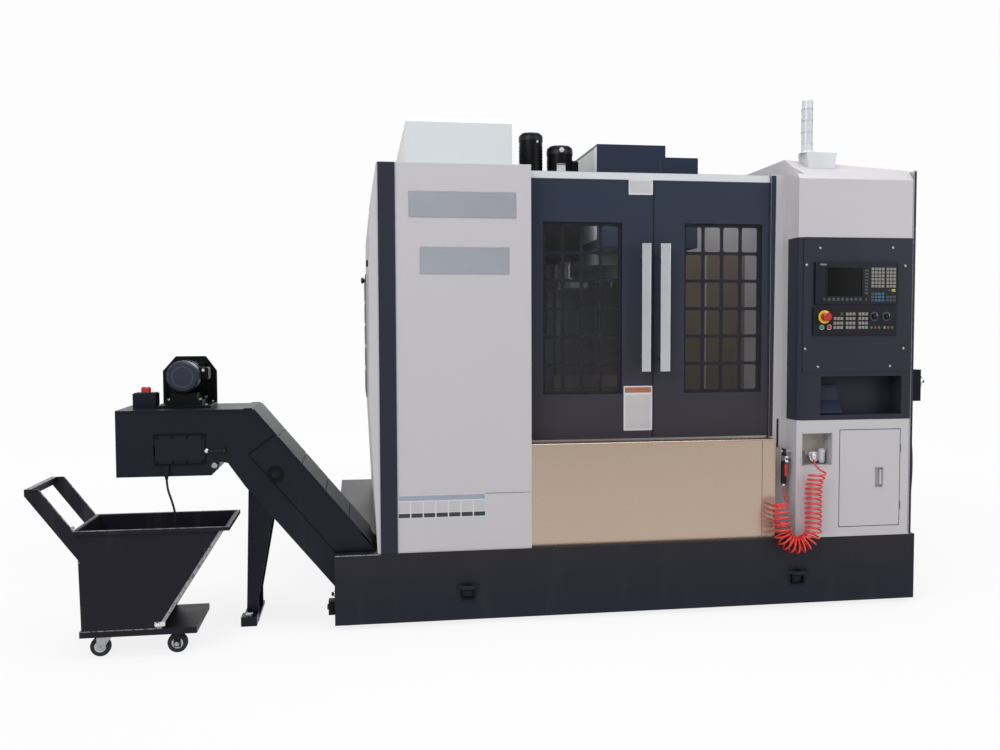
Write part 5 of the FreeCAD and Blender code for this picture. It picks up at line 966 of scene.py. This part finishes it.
slab("motor_base", motor_paint, "top", (-1.919, -0.7375, 0.925), (0.222, 0.215), 0.01, 0.008,
    0.0015)
turned("motor_base_bolts", zinc, "top", [(x, y, 0.935) for x in (-2.012, -1.826)
    for y in (-0.83, -0.646)], (0.007, 0.007, 0.0055), (0, 0.005, 0.0065), 6, smooth=10)
guard_y = -0.626
slab("guard_flange", motor_paint, "front", [(x, guard_y, 0.985) for x in (-2.029, -1.82)],
    (0.018, 0.11), 0.006, 0.002, 0.001)
slab("stop_box_lid", conveyor_paint, "top", (-2.076, -0.79, 0.986), (0.084, 0.072), 0.0035, 0.005,
    0.001)
hoops("stop_box_collar", yellow_gloss, "top", (-2.076, -0.79, 0.9885),
    (0.017, 0.017, 0.0095, 0.0095), (0, 0.0018, 0.0018, 0), 32)

# %% [markdown]
# The cart is thick sheet that gets knocked about, so its rim, its rail and its lower edges
# are worn to bare steel. One finish shows that: paint where the noise is low, steel where
# it is high. It goes on thin strips over the edges, and only there.


# %% Worn edges
worn_edge = worn("worn_cart_edge", rgb(52, 54, 62), rgb(150, 150, 150), 0.5)
# Rubbed steel is real wear on the cart and a painted highlight on the leg's foot and the base's
# edge.
rubbed_steel_and_highlight = worn("rubbed_steel_and_highlight", rgb(76, 78, 84), rgb(158, 160, 160), 0.46, 90.0)


def block(x, y, z, edge=0.0012):
    """A box between three spans, soft at the top, the bottom and the corners."""
    size = np.array([x[1] - x[0], y[1] - y[0]])
    centre = ((x[0] + x[1]) / 2, (y[0] + y[1]) / 2, z[0])
    high = z[1] - z[0]
    lines = [rounded(*(size - inset), edge) for inset in (edge * 1.4, 0, 0, edge * 1.4)]
    return stack("top", centre, lines, [0, edge * 0.7, high - edge * 0.7, high])


def hex_heads(side, spots, radius=0.007, high=0.005):
    """Six sided bolt heads, each on a round washer."""
    washers = [dome(side, s, (radius * 1.35, radius * 1.35), (0, high * 0.25), 20) for s in spots]
    return washers + [dome(side, s, (radius, radius, radius * 0.82), (0, high * 0.85, high), 6)
                      for s in spots]


def round_heads(side, spots, radius=0.005, high=0.003):
    """Low round screw heads."""
    return [dome(side, s, (radius, radius * 0.96, radius * 0.6), (0, high * 0.6, high), 16)
            for s in spots]


# %% [markdown]
# The cart is a tub on a frame with four casters. Each piece rides the body that it is fixed
# to: the hub caps turn with their rollers, and the nuts swivel with their forks. Caps and
# nuts come in pairs, one on each side of a wheel.


# %% Cart
def wheel_sides(x, y, half, axle_z=0.038):
    """The front and the back of a wheel with its middle at y, as (side, place)."""
    return [("front", (x, y - half, axle_z)), ("back", (x, y + half, axle_z))]


def hub_cap(side, at):
    """A low cap over a roller's bearing."""
    return dome(side, at, (0.0215, 0.0215, 0.0195, 0.011), (0, 0.0008, 0.0016, 0.002), 28)


cart_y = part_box("cart_frame")[0][1]
cart_middle = -1.045
piece("cart_rim_wear", [border("top", (-1.977, cart_middle, 0.495), (0.574, 0.348), 0.011, 0.001,
    0.003)], worn_edge, "cart")
slope_edge = [(-1.967, 0.109), (-1.952, 0.109), (-1.713, 0.48), (-1.728, 0.48)]
piece("cart_slope_edge", [outline_plate(cart_y, slope_edge, 0.0018, 0.0006)], rubbed_steel_and_highlight, "cart")
slab("cart_lower_seam", worn_edge, "front", (-2.096, cart_y, 0.1085), (0.3, 0.003), 0.0008, 0.001,
    0.0004, body="cart")
piece("cart_latch", [button("front", (-1.956, cart_y, 0.126), (0.04, 0.018), 0.004, 0.004, 0.0012),
    dome("front", (-1.965, cart_y - 0.003, 0.126), (0.0085, 0.0085, 0.006), (0, 0.009, 0.011),
    20)], chrome, "cart")
piece("cart_cheek_bolt", hex_heads("front", [(-2.262, cart_y, 0.508)], 0.005, 0.004), zinc, "cart")
slab("cart_rail_wear", rubbed_steel_and_highlight, "top", (-2.42, cart_middle, 0.657), (0.02, 0.3), 0.0008,
    0.003, 0.0004, body="cart")
arm_top = [(-2.264, 0.495), (-2.26, 0.495), (-2.3805, 0.657), (-2.386, 0.657)]
piece("cart_arm_edges", [stack("front", (0, y, 0), [np.array(arm_top)] * 2, [0, 0.0045])
    for y in (-1.2, -0.886)], worn_edge, "cart")
weld = np.array([(-2.25, 0.377), (-2.2425, 0.372), (-2.2405, 0.376), (-2.248, 0.38)])
piece("cart_tub_weld", [stack("front", (0, y, 0), [weld, weld], [0, 0.002])
    for y in (cart_y + 0.0008, -0.8838)], worn_edge, "cart")
wheel_ys = {"front": -1.16, "rear": -0.93}
for end, y in wheel_ys.items():
    nuts = [part for side, at in wheel_sides(-2.184, y, 0.019)
        for part in hex_heads(side, [at], 0.0068, 0.004)]
    piece(f"fork_nuts_{end}", nuts, zinc, f"fork_{end}")
    hubs = [hub_cap(*spot) for spot in wheel_sides(-2.184, y, 0.012)]
    piece(f"caster_hubs_{end}", hubs, pale_metal, f"roller_{end}")
hubs = [hub_cap(*spot) for y in wheel_ys.values() for spot in wheel_sides(-1.899, y, 0.012)]
piece("axle_hubs", hubs, pale_metal, "axle_pair")
caps = [dome(side, at, (0.0088, 0.0088, 0.006), (-0.001, 0.003, 0.004), 20)
    for side, at in wheel_sides(-1.899, cart_middle, 0.138)]
piece("axle_caps", caps, zinc, "axle_pair")
print("cart pieces placed")

# %% [markdown]
# The conveyor's leg ends in a box section with a levelling bolt, and the base stands on
# jack screws. The base's left end has a drain with a plug, and its front two lifting ears.

# %% Leg, drain and jacks
piece("leg_foot_box", [block((-1.694, -1.628), (-0.886, -0.8152), (0.0, 0.04), 0.002)],
    conveyor_paint)
piece("leg_bolt", hex_heads("top", [(-1.661, -0.852, 0.04)], 0.013, 0.012), chrome)
# A bright strip of painted highlight along the right edge of the leg's foot.
slab("leg_foot_painted_highlight", rubbed_steel_and_highlight, "right", (-1.627, -0.68, 0.007), (0.24, 0.011), 0.0008, 0.002,
    0.0003)
piece("drain_box", [block((-1.327, -1.3), (-0.966, -0.914), (0.056, 0.115), 0.002)], motor_paint)
turned("drain_collar", chrome, "left", (-1.3, -0.94, 0.1385), (0.0125, 0.0125, 0.0105),
    (0, 0.004, 0.005))
piece("drain_plug", [dome("left", (-1.304, -0.94, 0.1385), (0.0085, 0.0085, 0.0065),
    (0, 0.009, 0.011), 6), dome("left", (-1.327, -0.94, 0.085), (0.012, 0.012, 0.009),
    (-0.001, 0.004, 0.006), 24)], black_plastic, smooth=12)
pad_top, jack_ys, ear_xs = 0.014, (-0.85, 0.85), (-0.744, 0.736)
jacks = [(x, y, pad_top) for y in jack_ys for x in (-1.08, 0.07, 1.08)]
hoops("jack_nuts", zinc, "top", jacks, (0.0265, 0.0265, 0.0255, 0.0168, 0.0168),
    (0.0003, 0.0045, 0.0052, 0.0052, 0.0003), 6, smooth=12)
hoops("anchor_washers", zinc, "top", [(x, y, pad_top) for y in jack_ys for x in (-1.15, 1.15)],
    (0.0175, 0.0175, 0.0098, 0.0098), (0.0, 0.0022, 0.0022, 0.0), 28)
piece("ear_studs", hex_heads("top", [(x, -1.0135, 0.17) for x in ear_xs], 0.0085, 0.008),
    motor_paint)
piece("ear_hooks", [border("front", (x, FRONT_Y, 0.131), (0.058, 0.046), 0.008, 0.014, 0.004)
    for x in ear_xs], motor_paint)
slab("ear_welds", base_paint, "front", [(x, FRONT_Y, 0.1555) for x in ear_xs], (0.104, 0.004),
    0.002, 0.0015, 0.001)
# A bright strip of painted highlight along the base's top front edge.
slab("base_edge_painted_highlight", rubbed_steel_and_highlight, "front", (-1.204, FRONT_Y, 0.3118), (0.188, 0.0035), 0.0006,
    0.001, 0.0002)

# %% [markdown]
# Two motors of the tool changer stand out of the roof in black housings, with thin cooling
# rings, a cap held by screws, and a terminal box at the short one's side. A bare label is
# wrapped round its front.


# %% Motors on the roof
def wrap(centre, radius, angles, heights, thick=0.0006):
    """A patch bent round an upright cylinder; angle 0 faces the front."""
    turn = np.linspace(*angles, 10)
    way = np.stack([np.sin(turn), -np.cos(turn)], -1)
    line = np.concatenate([way * (radius + thick), (way * (radius - 0.001))[::-1]])
    return stack("top", (*centre, heights[0]), [line, line], [0, heights[1] - heights[0]])


def rings_round(centre, radius, heights, out=0.0014, band=0.004):
    """Thin raised rings round an upright cylinder."""
    inner, outer = radius - 0.001, radius + out
    return [dome("top", (*centre, z), (inner, outer, outer, inner),
                 (0, 0.0006, band, band + 0.0006), 40) for z in heights]


tall_at, short_at = (-0.341, -0.3), (-0.196, -0.3)
piece("tall_motor_rings", rings_round(tall_at, 0.0575, np.arange(1.962, 2.15, 0.016)), motor_paint)
piece("tall_motor_cap", rings_round(tall_at, 0.0575, [2.17], 0.0022, 0.02), black_plastic)
piece("short_motor_rings", rings_round(short_at, 0.063, np.arange(2.05, 2.085, 0.012)),
    motor_paint)
piece("short_motor_cap", rings_round(short_at, 0.063, [2.105], 0.0022, 0.022), black_plastic)
for name, at, radius, top in (("tall", tall_at, 0.036, 2.207), ("short", short_at, 0.041, 2.147)):
    spots = [(at[0] + radius * math.cos(a), at[1] + radius * math.sin(a), top)
        for a in np.arange(4) * math.pi / 2 + 0.7]
    piece(f"{name}_motor_screws", round_heads("top", spots), zinc)
    turned(f"{name}_motor_lid", black_plastic, "top", (*at, top),
        (radius * 0.72, radius * 0.7, radius * 0.62), (0, 0.003, 0.0045), 36)
turned("short_motor_dot", sticker_white, "front", (-0.1985, -0.3632, 2.1225),
    (0.0125, 0.0125, 0.0105), (-0.002, 0.0012, 0.0022))
turned("tall_motor_dot", pale_metal, "front", (-0.318, -0.3528, 2.162), (0.006, 0.006, 0.0048),
    (-0.002, 0.0012, 0.002), 20)
piece("bare_motor_label", [wrap(short_at, 0.063, (-0.42, 0.26), (1.955, 2.057))], sticker_white)
piece("roof_terminal_box", [block((-0.15, -0.108), (-0.335, -0.27), (1.95, 2.072), 0.003),
    block((-0.146, -0.112), (-0.331, -0.274), (2.072, 2.077), 0.002)], motor_paint)


# %% [markdown]
# The head's cover is folded from dark sheet, with a perforated pale side for air. Holes as
# real geometry would cost thousands of faces, so they are a pattern in the finish: two
# sines multiplied are high in the middle of each square of a chequered grid.

# %% Head cover
def perforated(name, sheet, hole_shade, pitch=0.0085):
    """A sheet with round holes in staggered rows, drawn in the YZ plane; the holes' colour is
    painted shade.
    """
    made = Finish(name)
    parts = [made.node("SeparateXYZ", None, {0: made.place()}, output=i) for i in (1, 2)]
    waves = [(part * (math.pi / pitch)).math("SINE") for part in parts]
    holes = (waves[0] * waves[1]).math("ABSOLUTE").between(0.40, 0.52)
    cloudy = made.noise(6.0, 3.0)
    body = made.mix(cloudy, shade(sheet, 0.94), shade(sheet, 1.04))
    made.set(Base_Color=made.mix(holes, body, hole_shade), Roughness=cloudy * 0.1 + 0.40,
             Metallic=(1.0 - holes) * 0.3, Normal=made.bump(holes * -1.0, 0.0009, 0.8))
    return made.material


# the second colour is painted shade seen through the holes
mesh_sheet = perforated("perforated_sheet", rgb(196, 200, 203), rgb(70, 72, 76))
slab("cover_grille", mesh_sheet, "left", (-0.057, -0.17, 1.895), (0.572, 0.44), 0.0015, 0.004,
    0.0005, body="head")
slab("cover_flange", pale_metal, "left", (-0.057, -0.478, 1.895), (0.04, 0.44), 0.0024, 0.003,
    body="head")
# the fold is a painted shadow line
slab("cover_fold", painted_seam_shadow, "front", (0.257, -0.5, 1.99), (0.0016, 0.16), 0.0005, 0.0006, 0.0002,
    body="head")

# %% [markdown]
# The left side bulges, and a barred window is let into it: black frame, pale bars, a knob
# at its front edge. A seam has to follow the bulge, so it is the side's own line with a
# little thickness, carried sideways.

# %% Left side
side_line = np.array([(-1.1205, 0.318), (-1.149, 0.936), (-1.142, 1.742), (-1.1125, 1.932)])


def side_strip(y, wide, out=0.0007):
    """A strip on the bulged left side, wide along Y."""
    line = np.concatenate([side_line + [-out, 0], (side_line + [0.001, 0])[::-1]])
    return stack("front", (0, y + wide / 2, 0), [line, line], [0, wide])


# the side joints are painted shadow lines
piece("side_joints", [side_strip(y, 0.0025) for y in (-0.56, 0.22)], painted_seam_shadow)
piece("side_trim", [side_strip(-0.992, 0.008, 0.0012)], white_paint)
window_at = (-1.155, -0.17, 1.22)
piece("side_window_seal", [border("left", window_at, (0.702, 0.57), 0.015, 0.002, 0.006)], rubber)
slab("side_window_bars", zinc, "left", [(-1.155, -0.17, 1.0544 + 0.1104 * i) for i in range(4)],
    (0.664, 0.013), 0.0022, 0.003, 0.0008)
slab("side_window_pane", pane_glass, "right", (-1.137, -0.17, 1.22), (0.69, 0.56), 0.002, 0.003,
    0.0004)
turned("side_knob", black_plastic, "left", (-1.155, -0.512, 1.475),
    (0.006, 0.006, 0.0125, 0.0135, 0.0135, 0.009), (-0.002, 0.007, 0.01, 0.012, 0.018, 0.0215), 28)
slab("side_catch", black_plastic, "left", (-1.1435, -0.5, 1.555), (0.024, 0.03), 0.009, 0.003,
    0.001)
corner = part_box("left_corner_post")
# a painted shadow line in the corner joint
slab("corner_joint", painted_seam_shadow, "front", (-1.0385, corner[0][1], 1.1245), (0.0016, 1.612), 0.0005,
    0.0006, 0.0002)

# %% [markdown]
# The rear is plain sheet with the electrical cabinet on it. Hinges, louvres, lifting eyes,
# a fan grille, cable glands and seams give it its working look. A louvre is a slit pressed
# outwards: a low wedge, so its ring moves down as it comes out.


# %% Rear
def louvres(side, centre, wide, count, pitch):
    """A column of pressed slits, each a wedge that hangs over its opening."""
    made = []
    for i in range(count):
        spot = np.asarray(centre) - Z * pitch * (i - (count - 1) / 2)
        lines = [rounded(wide, 0.014, 0.004), rounded(wide, 0.013, 0.004) - [0, 0.002],
                 rounded(wide - 0.006, 0.006, 0.002) - [0, 0.005]]
        made.append(stack(side, spot, lines, [0, 0.003, 0.0055]))
    return made


door_back, wall_back = 0.9783, 0.713
hinge_zs = (0.56, 1.115, 1.67)
vents = [part for z in (0.64, 1.64) for x in (-0.3, 0.38)
    for part in louvres("back", (x, door_back, z), 0.15, 8, 0.021)]
piece("rear_louvres", vents, white_paint, "rear_door")
turned("rear_hinges", zinc, "top", [(0.6245, 0.973, z) for z in hinge_zs], (0.007, 0.007, 0.0052),
    (0, 0.068, 0.07), 20)
slab("rear_hinge_leaves", zinc, "right", [(0.62, 0.952, z + 0.035) for z in hinge_zs],
    (0.03, 0.064), 0.0022, 0.003)
turned("rear_lock", chrome, "back", (-0.495, 1.0003, 1.21), (0.013, 0.013, 0.0105, 0.004, 0.004),
    (-0.022, -0.018, -0.017, -0.016, -0.0175), body="rear_door")
piece("rear_door_border", [border("back", (0.04, door_back, 1.15), (1.152, 1.432), 0.003, 0.0008,
    0.004)], rubber, "rear_door")
fan_at = (0.04, door_back, 0.7)
piece("rear_fan_rings", [hoop("back", fan_at, (a + 0.003, a + 0.003, a, a), (0, 0.006, 0.006, 0),
    40) for a in (0.018, 0.031, 0.044, 0.057)], black_plastic, "rear_door")
piece("rear_fan_frame", [dome("back", fan_at, (0.016, 0.016, 0.012), (0, 0.005, 0.006), 24),
    border("back", fan_at, (0.14, 0.14), 0.012, 0.007, 0.012)], black_plastic, "rear_door")
eye_xs = (-0.46, 0.54)
feet = [dome("top", (x, 0.85, 1.87), (0.016, 0.016, 0.01), (0, 0.006, 0.01)) for x in eye_xs]
eyes = [hoop("front", (x, 0.854, 1.896), (0.018, 0.018, 0.011, 0.011), (0, 0.008, 0.008, 0), 28)
    for x in eye_xs]
piece("cabinet_eyes", feet + eyes, zinc)
# painted shadow lines in the rear wall's joints
slab("rear_wall_joints", painted_seam_shadow, "back", [(x, wall_back, 1.1245) for x in (-0.76, 0.9)],
    (0.0024, 1.6), 0.0006, 0.0008, 0.0002)
piece("rear_wall_screws", round_heads("back",
    [(x + dx, wall_back, z) for x in (-0.76, 0.9) for dx in (-0.018, 0.018)
    for z in np.arange(0.4, 1.9, 0.245)], 0.0052, 0.003), zinc)
glands = [(x, 0.83, 0.43) for x in (-0.42, -0.36, -0.3, -0.24)]
turned("cabinet_glands", black_plastic, "below", glands, (0.014, 0.014, 0.0105, 0.0105, 0.008),
    (0, 0.012, 0.013, 0.022, 0.024), 8, smooth=12)
piece("rear_panel_frame", [border("back", (-0.96, wall_back, 0.62), (0.24, 0.42), 0.01, 0.0016,
    0.006), border("back", (1.09, wall_back, 1.45), (0.3, 0.56), 0.01, 0.0016, 0.006)],
    white_paint)
piece("rear_panel_vents", louvres("back", (1.09, wall_back, 1.45), 0.22, 12, 0.032), white_paint)

# %% [markdown]
# The right side is one tall sheet with two service covers on it. The hand wheel box hangs
# near its front edge: black, with a graduated silver dial and three small keys. The scale has
# sixty plain marks, and every fifth of them is longer.

# %% Right side
right_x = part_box("right_side_panel")[1][0]
# painted shadow lines in the right side's joints
slab("right_joints", painted_seam_shadow, "right", [(right_x, y, 1.13) for y in (-0.56, 0.24)],
    (0.0024, 1.6), 0.0006, 0.0008, 0.0002)
for label, y, z, size in (("low", 0.475, 0.64, (0.36, 0.52)), ("high", -0.16, 1.33, (0.56, 0.76))):
    at = (right_x, y, z)
    slab(f"service_cover_{label}", white_paint, "right", at, size, 0.0022, 0.008, 0.0008)
    spots = [(right_x + 0.0022, y + sy * (size[0] / 2 - 0.018), z + sz * (size[1] / 2 - 0.018))
        for sy in (-1, 0, 1) for sz in (-1, 1)]
    piece(f"service_screws_{label}", round_heads("right", spots, 0.0058, 0.0032), zinc)
    slab(f"service_grip_{label}", black_plastic, "right", (right_x + 0.0022, y, z), (0.09, 0.022),
        0.01, 0.006, 0.003)
piece("right_vents", louvres("right", (right_x, 0.475, 1.56), 0.24, 10, 0.03), white_paint)
unit_face = 1.322
slab("hand_unit_lid", black_plastic, "right", (unit_face, -0.955, 0.989), (0.074, 0.136), 0.0012,
    0.006, 0.0005)
turns = np.arange(60) * math.pi / 30
wheel = (1.337, -0.955, 1.005)
graduations = [teeth("right", wheel, [angle], (0.0268 if i % 5 else 0.0245, 0.03))[0]
    for i, angle in enumerate(turns)]
piece("wheel_graduations", graduations, black_plastic, "pulse_wheel")
piece("wheel_knurl", teeth("right", (1.324, -0.955, 1.005), np.arange(36) * math.pi / 18,
    (0.0332, 0.0346), (0.0006, 0.0004), 0.0085), silver, "pulse_wheel")
turned("wheel_cap", black_plastic, "right", wheel, (0.012, 0.012, 0.009), (0, 0.0016, 0.0024), 28,
    body="pulse_wheel")
turned("crank_sleeve", black_plastic, "right", (1.3375, -0.979, 1.005),
    (0.0044, 0.0056, 0.0056, 0.0044), (0.0004, 0.0015, 0.008, 0.0092), 20, body="pulse_wheel")
slab("hand_unit_keys", cap_pale, "right", [(unit_face + 0.0012, y, 0.936)
    for y in (-0.975, -0.955, -0.935)], (0.013, 0.009), 0.0025, 0.002, 0.0008)
piece("hand_unit_screws", round_heads("right",
    [(unit_face + 0.0012, y, z) for y in (-0.988, -0.922) for z in (0.927, 1.051)], 0.0028,
    0.0014), zinc)

# %% [markdown]
# The front is left with joints and edges: the apron's vertical joint and its rolled bead,
# the folds of the white post, the dark strip on it that wipes the right door, the shadow
# gaps round the console, and the pull cup of the small door with its catch.

# %% Front joints
apron_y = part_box("front_apron")[0][1]
# a painted shadow line in the apron's joint
slab("apron_joint", painted_seam_shadow, "front", (0.58, apron_y, 0.5355), (0.0022, 0.43), 0.0005, 0.0006,
    0.0002)
# the bead carries the same painted reflection tint
piece("apron_bead", [button("front", (0.087, apron_y, 0.753), (1.104, 0.0055), 0.0022, 0.002,
    0.001), button("front", (0.6385, apron_y, 0.5355), (0.005, 0.436), 0.0018, 0.002, 0.0008)],
    apron_steel_painted_reflection)
post_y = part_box("door_post")[0][1]
piece("door_wiper", [outline_plate(post_y, [(0.642, 0.76), (0.6575, 0.76), (0.664, 1.93),
    (0.642, 1.93)], 0.0015, 0.0005)], door_paint)
slab("post_folds", white_paint, "front", [(x, post_y, 1.1245) for x in (0.6655, 0.7)],
    (0.0016, 1.61), 0.001, 0.0006, 0.0003)
console_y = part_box("console_box")[0][1]
# painted shadow in the gaps under the hood and over the cabinet
slab("console_gaps", painted_seam_shadow, "front", [(1.008, console_y, z) for z in (1.648, 0.8405)],
    (0.516, 0.0026), 0.0005, 0.0006, 0.0002)
# painted shadow in the console's fold
slab("console_fold", painted_seam_shadow, "front", (1.2655, console_y, 1.13), (0.0018, 1.61), 0.0005, 0.0006,
    0.0002)
# painted shadow in the gap round the small door
piece("small_door_gap", [border("front", (1.0765, FRONT_Y, 0.576), (0.2932, 0.4382), 0.0024,
    0.0004, 0.002)], painted_seam_shadow, "small_door")
slab("side_edge_trim", dark_paint, "front", (1.2755, FRONT_Y, 1.13), (0.0105, 1.63), 0.0012, 0.001,
    0.0004)
cup = (1.122, FRONT_Y, 0.5765)
piece("pull_frame", [border("front", cup, (0.048, 0.099), 0.0045, 0.0012, 0.003)], sticker_grey,
    "small_door")
pull_grey = plastic("pull_grey", rgb(150, 153, 152), 0.4, 0.5)
slab("pull_plate", pull_grey, "front", (1.122, -0.9862, 0.5765), (0.037, 0.088), 0.0008, 0.002,
    0.0003, body="small_door")
slab("pull_catch", pale_metal, "front", (1.1335, -0.987, 0.5765), (0.009, 0.07), 0.0085, 0.002,
    0.001, body="small_door")
niche_beige = paint("niche_paint", rgb(178, 170, 160), 0.5, cloud=0.05, shine=0.3)
slab("niche_back", niche_beige, "front", (0.824, -0.92, 0.7095), (0.141, 0.142), 0.0006, 0.002,
    0.0002)
piece("niche_frame", [border("front", (0.824, FRONT_Y, 0.7095), (0.152, 0.153), 0.0045, 0.0009,
    0.003)], white_paint)
turned("cabinet_hinge_pins", zinc, "top", [(1.2262, -1.0008, z) for z in (0.43, 0.69)],
    (0.0026, 0.0026, 0.0018), (0, 0.034, 0.035), 12)

# %% [markdown]
# The signal tower has three clear lenses between rings. Each lens has fine vertical ribs,
# and a disc between two lenses hides the fixing.

# %% Signal tower
tower = (0.806, -0.9)
ribs = np.arange(40) * math.pi / 20
for i in range(3):
    low = 2.0765 + 0.052 * i
    piece(f"lens_ribs_{i}", teeth("top", (*tower, low), ribs, (0.0242, 0.0258), (0.0009, 0.0005),
        0.0435), lamp_white)
hoops("tower_rings", pale_metal, "top", [(*tower, z) for z in (2.069, 2.122, 2.174, 2.226)],
    (0.0262, 0.0272, 0.0272, 0.0262), (0, 0.0006, 0.0034, 0.004), 40)
turned("tower_foot", lamp_white, "top", (*tower, 2.03), (0.036, 0.036, 0.0325, 0.0285),
    (0, 0.004, 0.008, 0.0085), 36)

# %% [markdown]
# Through the panes shows the cabin: pale liners, telescopic covers over the ways and the
# coolant nozzles round the spindle. Covers slide into each other as the table goes, so they
# are short flights on the bed, clear of the saddle's whole travel.

# %% Cabin
liner = paint("way_cover_paint", rgb(176, 172, 162), 0.36, 0.6, cloud=0.06, dust=0.0, shine=0.5)
grey_liner = paint("rear_liner", rgb(126, 117, 100), 0.45, 0.6, cloud=0.16, dust=0.3, shine=0.4)
rear_sheets = ((-0.665, 0.86), (0.56, 0.25), (0.82, 0.25), (1.08, 0.25))
piece("rear_liner", [button("front", (x, 0.7098, 1.03), (wide, 1.36), 0.0016, 0.003, 0.0006)
    for x, wide in rear_sheets], grey_liner)
slab("side_liner", grey_liner, "left", [(1.2685, y, 1.1) for y in (-0.54, -0.23, 0.08, 0.39)],
    (0.3, 1.48), 0.0016, 0.003)
slab("column_covers", liner, "front", [(0.1, 0.2002, z) for z in (0.805, 0.88, 0.955)],
    (0.44, 0.07), 0.003, 0.004, 0.001)
nozzles = [(0.1 + 0.062 * math.cos(a), -0.32 + 0.062 * math.sin(a), 1.5005)
    for a in (-2.4, -1.57, -0.75)]
turned("coolant_nozzles", yellow_gloss, "below", nozzles,
    (0.009, 0.009, 0.0065, 0.0065, 0.0035, 0.0035), (0, 0.01, 0.012, 0.03, 0.038, 0.044), 16,
    body="head")
